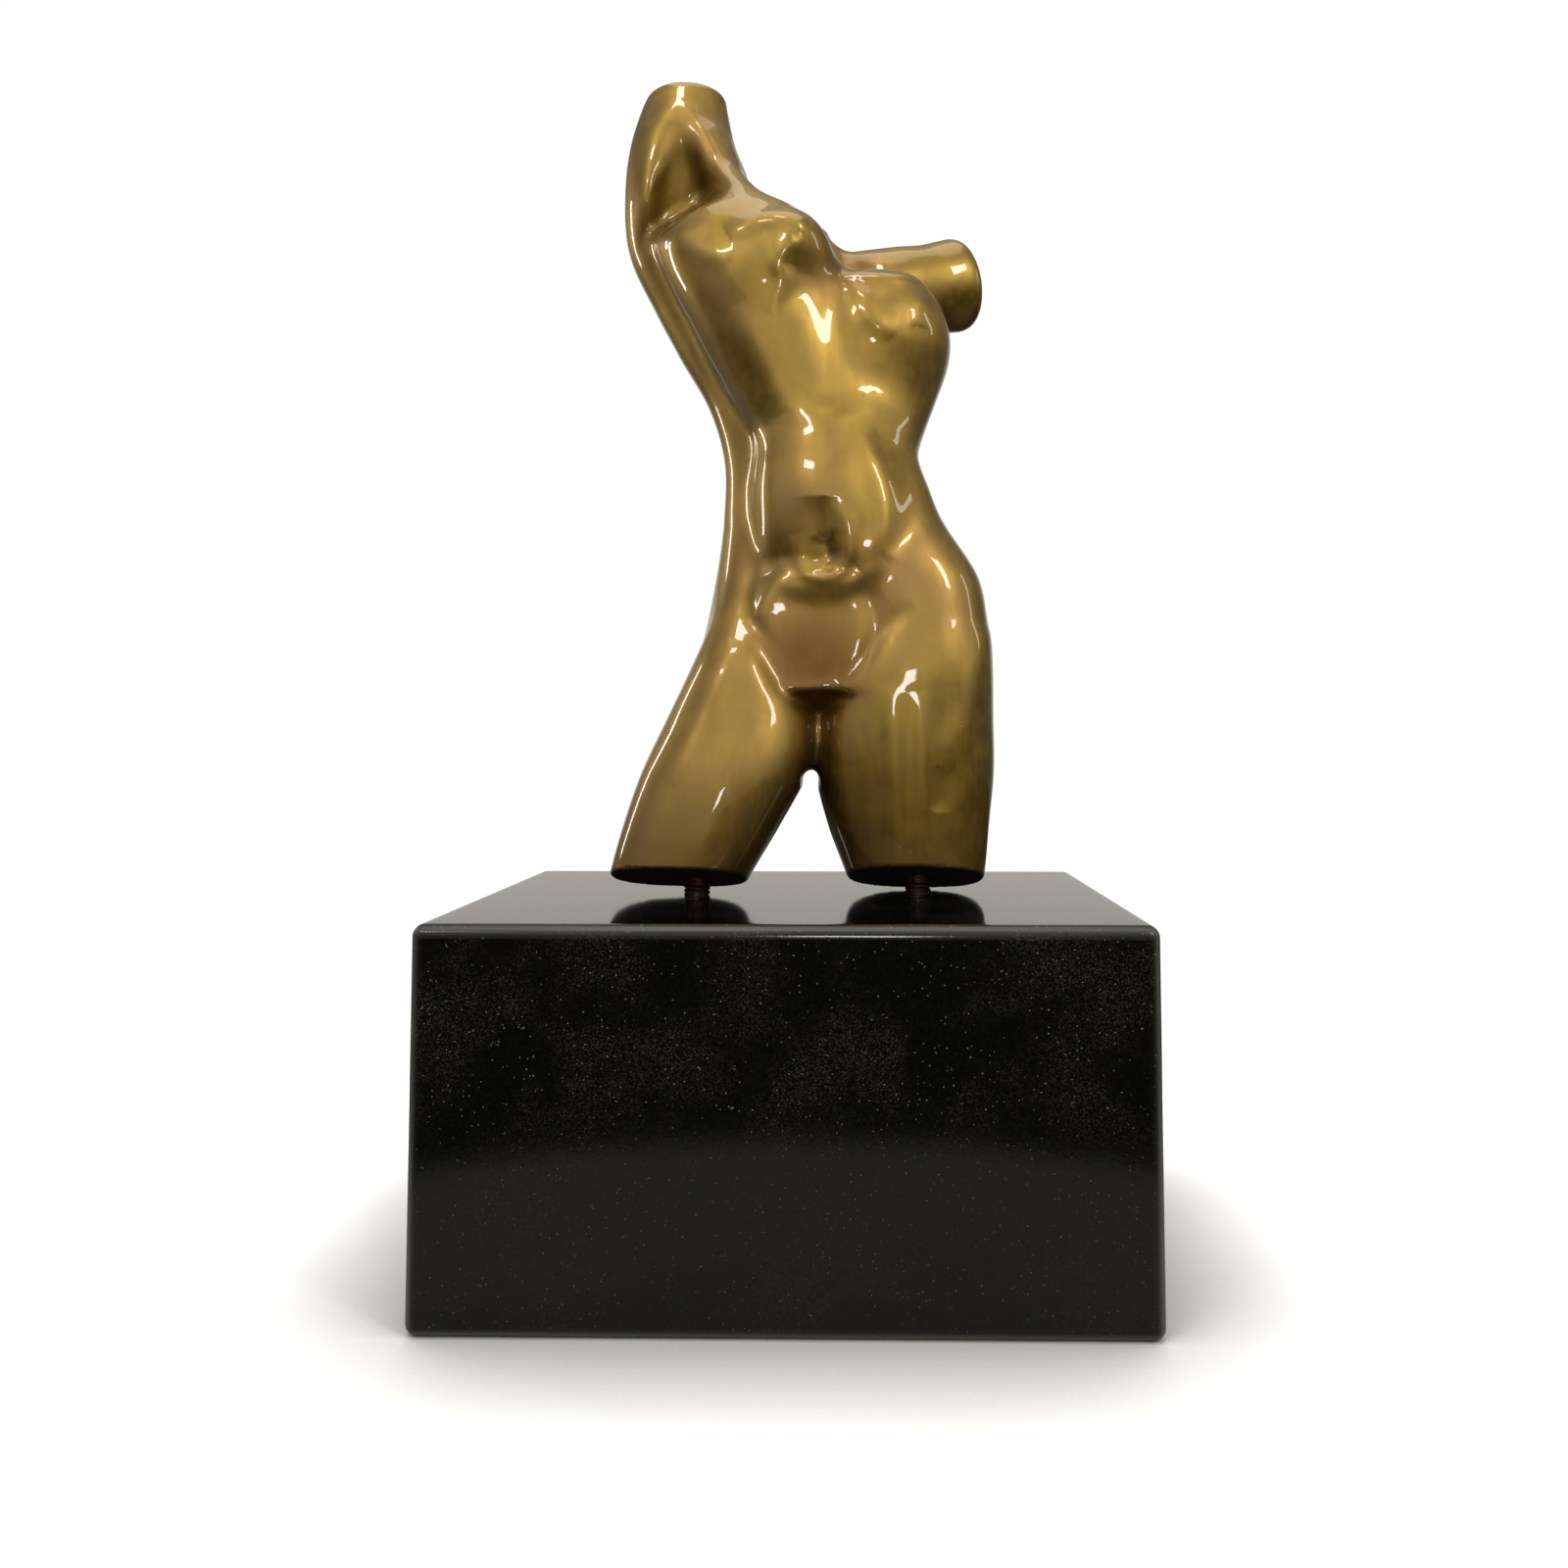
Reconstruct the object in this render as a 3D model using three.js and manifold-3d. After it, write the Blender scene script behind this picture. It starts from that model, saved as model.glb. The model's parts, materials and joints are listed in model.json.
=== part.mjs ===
// Bronze torso on a granite block: a cast bronze figure without head or forearms, cut flat at the
// thighs, held up by two steel studs on a rounded block of black granite.
// Millimetres, x to the viewer's right, y away from the viewer, z up. The origin is the middle of
// the block's underside.

import * as THREE from 'three';
import { RoundedBoxGeometry } from 'three/addons/geometries/RoundedBoxGeometry.js';
import { mergeVertices } from 'three/addons/utils/BufferGeometryUtils.js';
import Module from 'manifold-3d';

// Block
const BLOCK_WIDTH = 190;
const BLOCK_DEPTH = 150;
const BLOCK_HEIGHT = 102;
const BLOCK_EDGE_RADIUS = 3;
const BLOCK_EDGE_STEPS = 2;

// Studs, which stand in drilled holes with a small clearance all round
const STUD_DIAMETER = 8;
const STUD_IN_BLOCK = 24;
const STUD_IN_THIGH = 14;
const STUD_CLEARANCE = 0.3;
const STUD_SIDES = 24;

// Figure. Its pose and forms below are in hundredths of its height, x and y from the block's middle
// and z from the level of the figure's own zero, which floats just above the block.
const FIGURE_HEIGHT = 260;
const FIGURE_LIFT = 1;
const FACET = 4.7;
const SHORTEST_EDGE = 0.05;

// Thigh cuts: each is a flat plane, tilted up towards the front and rolled down towards the
// viewer's right, and its height is the one above the block's top at its stud
const LEFT_CUT_HEIGHT = 5.3;
const LEFT_CUT_TILT = THREE.MathUtils.degToRad(13.0);
const LEFT_CUT_ROLL = THREE.MathUtils.degToRad(1.5);
const RIGHT_CUT_HEIGHT = 5.3;
const RIGHT_CUT_TILT = THREE.MathUtils.degToRad(14.5);
const RIGHT_CUT_ROLL = THREE.MathUtils.degToRad(0.7);
const LEFT_STUD_AT = [-11.1, -5.0];
const RIGHT_STUD_AT = [14.2, -2.0];
const BETWEEN_THE_LEGS = 1.0;

// Swept forms. Their stations give height, middle x, middle y, half width, half depth and turn in
// degrees. A squareness of 2 gives an elliptical section, more a boxier one.
const CHEST_AND_LOIN = {
  endRounding: 4,
  squareness: 2.3,
  stations: [
    [14.0, 3.0, 0.5, 8.0, 7.5, -12],
    [22.0, 4.5, 0.3, 11.5, 8.2, -12],
    [30.0, 6.9, 0.0, 13.7, 8.2, -12],
    [36.0, 8.0, -0.2, 13.3, 8.6, -11],
    [42.0, 6.8, -0.2, 11.2, 8.6, -5],
    [47.0, 5.7, 0.0, 10.2, 8.4, 2],
    [52.0, 4.8, 1.0, 9.6, 8.2, 9],
    [58.0, 4.3, 2.2, 12.0, 8.8, 17],
    [66.5, 3.2, 4.2, 16.0, 9.8, 25],
    [73.5, 1.2, 6.2, 18.0, 10.2, 28],
    [79.0, -1.0, 7.6, 18.0, 10.0, 30],
    [84.0, -5.0, 8.2, 14.5, 9.2, 30],
    [90.0, -9.0, 8.8, 10.0, 8.0, 30],
  ],
};
const LEFT_BACK = {
  endRounding: 5,
  stations: [
    [14.0, -3.5, 3.6, 8.0, 7.4, 0],
    [22.0, -3.0, 4.5, 9.4, 8.6, 0],
    [30.0, -1.7, 4.6, 9.3, 9.0, 0],
    [37.0, -1.7, 4.5, 8.1, 8.4, 0],
    [45.0, -2.2, 4.9, 6.9, 6.9, 0],
    [52.0, -2.6, 5.8, 6.6, 6.3, 0],
    [59.0, -4.6, 7.4, 6.7, 6.5, 0],
    [66.5, -8.6, 9.2, 6.9, 6.8, 0],
    [75.0, -12.5, 10.4, 7.2, 7.0, 0],
    [84.0, -14.2, 10.8, 7.8, 7.0, 0],
  ],
};
const RIGHT_BACK = {
  endRounding: 6,
  stations: [
    [22.0, 13.0, 4.0, 8.0, 8.0, 0],
    [37.0, 12.0, 5.5, 7.5, 7.8, 0],
    [45.0, 9.5, 6.2, 6.1, 6.8, 0],
    [52.0, 8.2, 7.4, 6.0, 6.5, 0],
    [59.0, 8.5, 9.5, 7.0, 7.0, 0],
    [68.0, 8.5, 12.0, 8.0, 7.5, 0],
    [76.0, 8.0, 14.0, 8.0, 7.0, 0],
  ],
};
const RAISED_ARM = {
  endRounding: 1.2,
  stations: [
    [69.0, -9.0, 9.6, 3.4, 3.6, 0],
    [77.0, -13.4, 9.8, 6.6, 6.4, 0],
    [84.0, -14.2, 9.6, 8.0, 8.0, 0],
    [89.0, -14.5, 9.8, 7.9, 7.7, 0],
    [94.0, -15.1, 10.2, 6.7, 7.0, 0],
    [98.5, -15.0, 10.6, 5.6, 5.7, 0],
    [101.0, -14.7, 10.8, 4.9, 5.1, 0],
  ],
};
const LEFT_THIGH = {
  endRounding: 4,
  squareness: 2.5,
  openBelow: true,
  stations: [
    [-3.0, -14.6, -6.4, 7.1, 7.2, 0],
    [2.0, -13.0, -5.8, 7.9, 7.7, 0],
    [8.0, -10.5, -5.0, 8.9, 8.4, 0],
    [14.0, -8.0, -3.8, 9.5, 9.0, 0],
    [20.0, -6.3, -2.2, 8.6, 9.1, 0],
    [26.0, -6.2, -1.1, 6.0, 8.9, 0],
    [31.0, -5.7, 0.4, 4.6, 7.6, 0],
    [37.0, -5.0, 2.4, 3.8, 5.6, 0],
    [44.0, -4.0, 4.0, 3.0, 3.8, 0],
  ],
};
const RIGHT_THIGH = {
  endRounding: 4,
  squareness: 2.5,
  openBelow: true,
  stations: [
    [-3.0, 14.3, -1.9, 7.0, 6.9, 0],
    [2.0, 13.9, -1.5, 8.0, 7.4, 0],
    [8.0, 13.1, -1.2, 9.4, 8.3, 0],
    [14.0, 12.7, -1.0, 10.4, 9.1, 0],
    [20.0, 12.9, -0.8, 10.2, 9.6, 0],
    [26.0, 14.0, -0.9, 9.0, 9.6, 0],
    [31.0, 15.0, -0.5, 7.6, 9.2, 0],
    [37.0, 15.2, 0.0, 5.6, 8.4, 0],
    [44.0, 12.4, 1.0, 3.8, 6.4, 0],
  ],
};
// The short rest of the lowered arm, whose stations run out of the shoulder along its own line
const ARM_STUMP = {
  root: [8.5, 11.0, 74.2],
  along: [0.9, 0.36, 0.25],
  endRounding: 2.4,
  stations: [
    [0.0, 0, 0, 5.0, 5.4, 0],
    [6.0, 0, 0, 5.5, 5.6, 0],
    [14.6, 0, 0, 6.2, 5.9, 0],
  ],
};

// Rounded masses: middle and half sizes, turned about the upright, tipped back and rolled sideways
const BELLY = { centre: [4.3, -0.6, 44.5], radii: [8.6, 9.3, 12.5], turn: -4 };
const RAISED_BREAST = { centre: [-3.4, -0.2, 74.2], radii: [7.2, 7.0, 6.6], turn: 20, tip: -12, roll: 20 };
const LEVEL_BREAST = { centre: [11.1, 1.8, 67.0], radii: [6.2, 6.6, 7.0], turn: 25, tip: -6 };
const LEFT_SEAT = { centre: [0.8, 7.0, 24.0], radii: [8.6, 7.5, 9.5] };
const RIGHT_SEAT = { centre: [13.4, 4.6, 24.5], radii: [8.6, 7.5, 9.5] };
const MOUND = { centre: [2.6, -1.0, 29.0], radii: [9.0, 10.5, 12.0], turn: -8 };

// Tapered bars joined end to end: the fold of muscle from arm to breast, the raised breast's tip, the
// level breast's slope down to the waist, the shoulders, and the root of the neck
const FOLD = [
  { at: [-11.8, 6.5, 92.0], radius: 2.6 },
  { at: [-9.4, 4.2, 84.6], radius: 3.4 },
  { at: [-5.0, 0.5, 78.5], radius: 4.4 },
];
const RAISED_TIP = [
  { at: [-2.4, -2.2, 74.4], radius: 4.4 },
  { at: [0.0, -5.4, 76.0], radius: 2.0 },
];
const LEVEL_SLOPE = [
  { at: [10.6, 1.4, 66.0], radius: 5.4 },
  { at: [8.8, 3.4, 56.0], radius: 4.8 },
];
const SHOULDERS = [
  { at: [-12.5, 10.4, 82.0], radius: 5.5 },
  { at: [2.0, 12.5, 76.0], radius: 4.6 },
  { at: [12.0, 12.5, 75.3], radius: 5.0 },
];
const NECK = [
  { at: [0.6, 11.0, 78.0], radius: 4.4 },
  { at: [-0.4, 16.5, 84.0], radius: 4.0 },
];

// The round bar that the gap between the thighs ends in
const CROTCH = [
  { at: [1.75, -12.0, 13.2], radius: 0.7 },
  { at: [1.75, 12.0, 13.2], radius: 0.7 },
];

// Planes that bound the forms, each facing out of what it leaves
const CHEST_SLOPE = { at: [4.0, 10.0, 78.5], facing: [0.5, 0.0, 0.87] };
const BREAST_SIDE = { at: [3.4, 0.0, 76.0], facing: [0.85, 0.0, 0.53] };
const CHEST_TOP = { at: [6.0, 0.0, 73.4], facing: [0.12, -0.25, 0.96] };
const LOIN_UNDERSIDE = { at: [1.7, -8.0, 23.6], facing: [0.0, -0.42, -0.9] };
const NECK_CUT = { at: [-0.2, 15.6, 83.0], facing: [-0.1, 0.45, 0.89] };
const MOUND_FRONT = { at: [1.7, -8.8, 23.2], facing: [-0.06, -0.99, 0.02] };
const MOUND_UNDERSIDE = { at: [1.7, -8.8, 23.2], facing: [0.0, -0.42, -0.9] };
const ARMPIT_FLOOR = { at: [-15.4, 3.1, 96.0], facing: [0.26, -0.93, -0.26] };
const ARMPIT_LEFT = { at: [-16.6, 4.5, 95.5], facing: [-0.98, 0.0, 0.135] };
const ARMPIT_RIGHT = { at: [-10.6, 2.0, 86.8], facing: [0.85, 0.35, 0.312] };
const ARMPIT_BELOW = { at: [-12.9, -1.0, 81.1], facing: [0.49, 0.38, -0.79] };

// How widely neighbouring forms melt into each other, from a crease to a broad flow
const EDGE = 0.4;
const CREASE = 1.2;
const SOFT = 2;
const FULL = 3;
const BROAD = 4;
const FLOWING = 5;

// Strokes over the front: soft ridges, and furrows where the rise is below nought. Each follows a
// smooth curve through places given as x and height, and fades away from it, towards the curve's
// ends and towards the back.
const STROKES = [
  // The raised breast's crest, its tip, and the ridge that falls from the tip
  { line: [[-8.0, 76.2], [-6.3, 77.0], [-4.0, 77.9], [-1.2, 77.9], [1.6, 77.2]], width: 1.4, rise: 0.55 },
  { line: [[0.4, 76.6], [1.4, 76.6]], width: 1.3, rise: 0.35 },
  { line: [[0.4, 76.0], [-0.4, 74.7], [-1.6, 72.6], [-1.2, 70.2], [-3.0, 66.5]], width: 1.2, rise: 0.4 },
  // The chest's lower left border
  { line: [[-15.0, 77.0], [-12.6, 75.6], [-10.4, 74.3], [-7.4, 72.8]], width: 1.6, rise: 0.3 },
  // The level breast's crest, left border and right border
  { line: [[5.6, 71.6], [7.1, 72.7], [9.5, 72.5], [12.2, 72.3], [15.4, 73.0]], width: 1.1, rise: 0.5 },
  { line: [[6.6, 72.0], [7.6, 69.6], [9.0, 66.6], [11.6, 64.6]], width: 1.2, rise: 0.35 },
  { line: [[15.8, 70.4], [14.4, 68.2], [14.8, 65.8]], width: 1.2, rise: 0.2 },
  // The breastbone's furrow and the arch of the ribs
  { line: [[5.8, 74.0], [4.8, 68.0], [4.3, 62.0], [4.4, 55.0]], width: 2.4, rise: -0.25 },
  { line: [[-6.5, 68.0], [-4.4, 62.5], [-2.4, 58.4], [-1.6, 55.0]], width: 1.5, rise: 0.25 },
  { line: [[-2.5, 57.4], [0.5, 55.2], [3.3, 54.4], [6.7, 54.8], [10.0, 57.4]], width: 1.7, rise: 0.2 },
  // The belly's two long borders, with a furrow outside the right one
  {
    line: [[6.6, 54.0], [9.2, 49.8], [10.5, 45.4], [10.4, 42.0], [9.2, 39.4], [7.0, 37.0]],
    width: 1.6,
    rise: 0.45,
  },
  { line: [[9.4, 54.0], [11.9, 49.8], [13.2, 45.4], [13.0, 41.5], [11.4, 38.2]], width: 1.7, rise: -0.3 },
  { line: [[-3.0, 54.0], [-3.2, 49.0], [-2.7, 43.6], [-2.8, 39.6], [-2.0, 36.6]], width: 1.5, rise: 0.3 },
  // The navel in its shallow oval dish
  { line: [[3.0, 45.0], [3.0, 41.5], [3.2, 38.4], [3.4, 36.2]], width: 2.0, rise: -0.65 },
  { line: [[3.3, 40.8], [3.9, 39.2], [4.2, 37.4]], width: 0.9, rise: -0.5 },
  // The belly's lower edge and the hollow under it
  {
    line: [[-2.6, 37.2], [-0.4, 35.2], [2.8, 34.6], [5.8, 35.2], [8.4, 36.3], [10.4, 37.8]],
    width: 1.3,
    rise: 0.3,
  },
  { line: [[-2.0, 33.4], [0.2, 32.4], [2.9, 32.0], [6.2, 32.6], [10.0, 34.6]], width: 2.4, rise: -0.22 },
  // The thin rim along the mound's lower edge
  { line: [[-1.6, 23.8], [1.6, 23.6], [4.8, 23.9]], width: 0.6, rise: 0.2 },
  // The groins
  { line: [[-4.6, 31.6], [-4.0, 29.8], [-3.4, 27.4], [-2.4, 24.8], [-0.6, 22.4]], width: 1.1, rise: -0.25 },
  { line: [[13.6, 32.8], [11.4, 31.2], [9.3, 28.8], [7.4, 25.8], [4.6, 22.4]], width: 1.1, rise: -0.25 },
  // The thighs' long soft ridges and the dent in the right one
  { line: [[-6.6, 29.0], [-8.0, 24.6], [-10.4, 19.4], [-14.0, 13.0]], width: 1.6, rise: 0.35 },
  { line: [[-4.0, 21.0], [-6.4, 15.4], [-9.2, 8.0], [-11.4, 0.0], [-12.4, -5.0]], width: 1.8, rise: 0.25 },
  { line: [[21.6, 31.0], [21.0, 26.0], [19.6, 20.4], [17.2, 14.6]], width: 1.6, rise: 0.35 },
  { line: [[17.0, 14.6], [16.7, 12.2], [16.2, 9.6]], width: 1.2, rise: -0.22 },
  { line: [[10.6, 24.0], [11.1, 19.0], [11.4, 12.0], [11.7, 4.0], [11.8, -5.0]], width: 1.3, rise: 0.3 },
  { line: [[14.2, 23.0], [14.5, 18.0], [14.4, 12.0], [14.2, 4.0], [14.0, -5.0]], width: 1.2, rise: 0.28 },
];
const STROKE_REACH = 2.6;
const STROKES_END_BEHIND = 5;
const STROKE_FADE = 4;
const CURVE_STEPS = 6;

// The net's box starts below the thighs' open ends, which the cuts take away
const THIGH_END = -4;
const FIGURE_BOX = { low: [-26, -18, -8], high: [28, 26, 106] };
const PROBE = 0.05;
const SETTLE_PASSES = 3;
const SETTLE_REACH = 0.25;
const OPENING_PASSES = 4;

// Smallest values that lengths and slopes are divided by, and the distance at which points are one
const TINY = 1e-9;
const SMALL = 1e-3;
const LEAST_STEEPNESS = 0.01;
const SAME_POINT = 1e-4;

// Two forms that melt into each other over the given width
function join(a, b, width) {
  const near = Math.max(width - Math.abs(a - b), 0) / width;
  return Math.min(a, b) - (near * near * width) / 4;
}

// The part of a form that lies inside another, with the edge rounded over the given width
function trim(a, b, width) {
  return -join(-a, -b, width);
}

// Values of a table of stations at one height, on a smooth curve through its rows
function valuesAt(stations, height) {
  const last = stations.length - 1;
  const place = THREE.MathUtils.clamp(height, stations[0][0], stations[last][0]);
  let i = 0;
  while (i < last - 1 && place > stations[i + 1][0]) i += 1;
  const span = stations[i + 1][0] - stations[i][0];
  const s = (place - stations[i][0]) / span;
  const slope = (k, column) => {
    const before = stations[Math.max(k - 1, 0)];
    const after = stations[Math.min(k + 1, last)];
    return (after[column] - before[column]) / (after[0] - before[0]);
  };
  const values = [];
  for (let column = 1; column < stations[0].length; column += 1) {
    values.push(
      (2 * s ** 3 - 3 * s ** 2 + 1) * stations[i][column] +
        (s ** 3 - 2 * s ** 2 + s) * span * slope(i, column) +
        (3 * s ** 2 - 2 * s ** 3) * stations[i + 1][column] +
        (s ** 3 - s ** 2) * span * slope(i + 1, column),
    );
  }
  return values;
}

// Distance to an oval of the given half sizes
function ovalDistance(u, v, halfWidth, halfDepth, squareness) {
  const a = Math.abs(u / halfWidth);
  const b = Math.abs(v / halfDepth);
  const size = Math.max(a ** squareness + b ** squareness, TINY) ** (1 / squareness);
  const across = (a / size) ** (squareness - 1) / halfWidth;
  const along = (b / size) ** (squareness - 1) / halfDepth;
  return (size - 1) / Math.max(Math.hypot(across, along), SMALL);
}

// A form swept up through its stations
function swept(point, { stations, endRounding, openBelow = false, squareness = 2 }) {
  const [x, y, z] = point;
  const [middleX, middleY, halfWidth, halfDepth, turn] = valuesAt(stations, z);
  const c = Math.cos(THREE.MathUtils.degToRad(turn));
  const s = Math.sin(THREE.MathUtils.degToRad(turn));
  const u = (x - middleX) * c + (y - middleY) * s;
  const v = (y - middleY) * c - (x - middleX) * s;
  let distance = ovalDistance(u, v, halfWidth, halfDepth, squareness);
  distance = trim(distance, z - stations[stations.length - 1][0], endRounding);
  if (!openBelow) distance = trim(distance, stations[0][0] - z, endRounding);
  return distance;
}

function ellipsoid(point, { centre, radii, turn = 0, tip = 0, roll = 0 }) {
  const q = new THREE.Vector3(...point).sub(new THREE.Vector3(...centre));
  q.applyAxisAngle(new THREE.Vector3(0, 0, 1), -THREE.MathUtils.degToRad(turn));
  q.applyAxisAngle(new THREE.Vector3(1, 0, 0), -THREE.MathUtils.degToRad(tip));
  q.applyAxisAngle(new THREE.Vector3(0, 1, 0), THREE.MathUtils.degToRad(roll));
  const size = Math.hypot(q.x / radii[0], q.y / radii[1], q.z / radii[2]);
  const slope = Math.hypot(q.x / radii[0] ** 2, q.y / radii[1] ** 2, q.z / radii[2] ** 2);
  return size < SMALL ? -Math.min(...radii) : (size * (size - 1)) / slope;
}

// A round bar from one knot to the next
function taperedBar(point, from, to) {
  const along = to.at.map((value, i) => value - from.at[i]);
  const reach = point.map((value, i) => value - from.at[i]);
  const dot = reach[0] * along[0] + reach[1] * along[1] + reach[2] * along[2];
  const share = THREE.MathUtils.clamp(dot / (along[0] ** 2 + along[1] ** 2 + along[2] ** 2), 0, 1);
  const away = Math.hypot(...reach.map((value, i) => value - along[i] * share));
  return away - (from.radius + (to.radius - from.radius) * share);
}

function taperedPath(point, knots, width = CREASE) {
  let distance = taperedBar(point, knots[0], knots[1]);
  for (let i = 1; i + 1 < knots.length; i += 1) {
    distance = join(distance, taperedBar(point, knots[i], knots[i + 1]), width);
  }
  return distance;
}

// Distance in front of a plane
function inFrontOf(point, { at, facing }) {
  const size = Math.hypot(...facing);
  return facing.reduce((sum, value, i) => sum + ((point[i] - at[i]) * value) / size, 0);
}

// A stroke with the close places of its curve and the box outside which it has faded away
function drawnStroke({ line, width, rise }) {
  const knots = line.map(([x, z]) => new THREE.Vector3(x, 0, z));
  const curve = new THREE.CatmullRomCurve3(knots, false, 'catmullrom');
  const places = curve.getPoints(CURVE_STEPS * (line.length - 1));
  const box = new THREE.Box3().setFromPoints(places).expandByScalar(STROKE_REACH * width);
  return { places, box, width, rise };
}

const DRAWN_STROKES = STROKES.map(drawnStroke);

// How far one stroke lifts the skin at a point
function strokeRise([x, y, z], { places, box, width, rise }) {
  const outside = x < box.min.x || x > box.max.x || z < box.min.z || z > box.max.z;
  if (outside || y > STROKES_END_BEHIND) return 0;
  let away = Infinity;
  let along = 0;
  for (let i = 0; i + 1 < places.length; i += 1) {
    const dx = places[i + 1].x - places[i].x;
    const dz = places[i + 1].z - places[i].z;
    const reach = (x - places[i].x) * dx + (z - places[i].z) * dz;
    const share = THREE.MathUtils.clamp(reach / (dx * dx + dz * dz), 0, 1);
    const here = (x - places[i].x - dx * share) ** 2 + (z - places[i].z - dz * share) ** 2;
    if (here < away) {
      away = here;
      along = (i + share) / (places.length - 1);
    }
  }
  const towardsEnds = 1 - Math.abs(2 * along - 1) ** 3;
  const towardsBack = THREE.MathUtils.clamp((STROKES_END_BEHIND - y) / STROKE_FADE, 0, 1);
  return rise * towardsEnds * towardsBack * Math.exp(-away / width ** 2);
}

// Chest, belly and both breasts
function frontDistance(point) {
  let front = trim(swept(point, CHEST_AND_LOIN), inFrontOf(point, CHEST_SLOPE), FLOWING);
  const shoulderSide = join(inFrontOf(point, BREAST_SIDE), inFrontOf(point, CHEST_TOP), FULL);
  front = trim(front, shoulderSide, FULL);
  front = trim(front, inFrontOf(point, LOIN_UNDERSIDE), EDGE);
  front = join(front, ellipsoid(point, BELLY), BROAD);
  front = join(front, taperedPath(point, FOLD, SOFT), FULL);
  front = join(front, ellipsoid(point, RAISED_BREAST), BROAD);
  front = join(front, taperedPath(point, RAISED_TIP), FLOWING);
  front = join(front, ellipsoid(point, LEVEL_BREAST), FLOWING);
  return join(front, taperedPath(point, LEVEL_SLOPE), BROAD);
}

function armStumpDistance(point) {
  const along = new THREE.Vector3(...ARM_STUMP.along).normalize();
  const upright = new THREE.Vector3(0, 0, 1).projectOnPlane(along).normalize();
  const sideways = new THREE.Vector3().crossVectors(along, upright);
  const reach = new THREE.Vector3(...point).sub(new THREE.Vector3(...ARM_STUMP.root));
  return swept([reach.dot(upright), reach.dot(sideways), reach.dot(along)], ARM_STUMP);
}

// Both sides of the back with the furrow of the spine between them, the seat, the shoulders, the
// raised arm, the rest of the lowered one, and the low cut of the neck behind the raised breast
function backDistance(point) {
  const seat = join(ellipsoid(point, LEFT_SEAT), ellipsoid(point, RIGHT_SEAT), CREASE);
  let back = join(swept(point, LEFT_BACK), swept(point, RIGHT_BACK), BROAD);
  back = join(back, seat, FULL);
  back = join(back, taperedPath(point, SHOULDERS, SOFT), BROAD);
  back = join(back, swept(point, RAISED_ARM), FULL);
  back = join(back, armStumpDistance(point), FULL);
  return join(back, trim(taperedPath(point, NECK), inFrontOf(point, NECK_CUT), EDGE), FULL);
}

// The mound between the two creases of the thighs
function moundDistance(point) {
  const mound = trim(ellipsoid(point, MOUND), inFrontOf(point, MOUND_FRONT), EDGE);
  return trim(mound, inFrontOf(point, MOUND_UNDERSIDE), EDGE);
}

// The flat three-cornered hollow under the raised arm, in front of its floor
function armpitDistance(point) {
  let hollow = trim(-inFrontOf(point, ARMPIT_FLOOR), inFrontOf(point, ARMPIT_RIGHT), SOFT);
  hollow = trim(hollow, inFrontOf(point, ARMPIT_LEFT), FULL);
  return trim(hollow, inFrontOf(point, ARMPIT_BELOW), SOFT);
}

// Distance to the whole figure, in hundredths of its height, before the thighs are cut
function figureDistance(point) {
  let figure = join(frontDistance(point), backDistance(point), SOFT);
  figure = join(figure, swept(point, RIGHT_THIGH), SOFT);
  figure = join(figure, swept(point, LEFT_THIGH), SOFT);
  figure = join(figure, moundDistance(point), CREASE);
  figure = trim(figure, -taperedPath(point, CROTCH), CREASE);
  figure = trim(figure, -armpitDistance(point), SOFT);
  figure -= DRAWN_STROKES.reduce((sum, stroke) => sum + strokeRise(point, stroke), 0);
  return trim(figure, THIGH_END - point[2], EDGE);
}

// Moves a point onto the surface where the distance is nought, no further than the given reach
function settle(distanceAt, point, reach) {
  let settled = point;
  for (let pass = 0; pass < SETTLE_PASSES; pass += 1) {
    const distance = distanceAt(settled);
    const slope = [0, 1, 2].map((axis) => {
      const ahead = settled.slice();
      const behind = settled.slice();
      ahead[axis] += PROBE;
      behind[axis] -= PROBE;
      return (distanceAt(ahead) - distanceAt(behind)) / (2 * PROBE);
    });
    const steep = Math.max(slope[0] ** 2 + slope[1] ** 2 + slope[2] ** 2, LEAST_STEEPNESS);
    const move = slope.map((value) => (-distance * value) / steep);
    const share = Math.min(1, reach / Math.max(Math.hypot(...move), TINY));
    settled = settled.map((value, i) => value + move[i] * share);
  }
  return settled;
}

// Where the corners of a grid square lie in and out by turns, the surface would touch itself along an
// edge. The corner nearest the surface changes sides, so that each square is crossed once.
function openDoubleCrossings(distances, index, corner) {
  for (let axis = 0; axis < 3; axis += 1) {
    const square = [[0, 0], [1, 0], [1, 1], [0, 1]].map(([first, second]) => {
      const place = corner.slice();
      place[(axis + 1) % 3] += first;
      place[(axis + 2) % 3] += second;
      return index(...place);
    });
    const sides = square.map((i) => distances[i] < 0);
    if (sides[0] === sides[2] && sides[1] === sides[3] && sides[0] !== sides[1]) {
      const nearer = (best, i) => (Math.abs(distances[i]) < Math.abs(distances[best]) ? i : best);
      const nearest = square.reduce(nearer);
      distances[nearest] = distances[nearest] < 0 ? SMALL : -SMALL;
    }
  }
}

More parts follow.
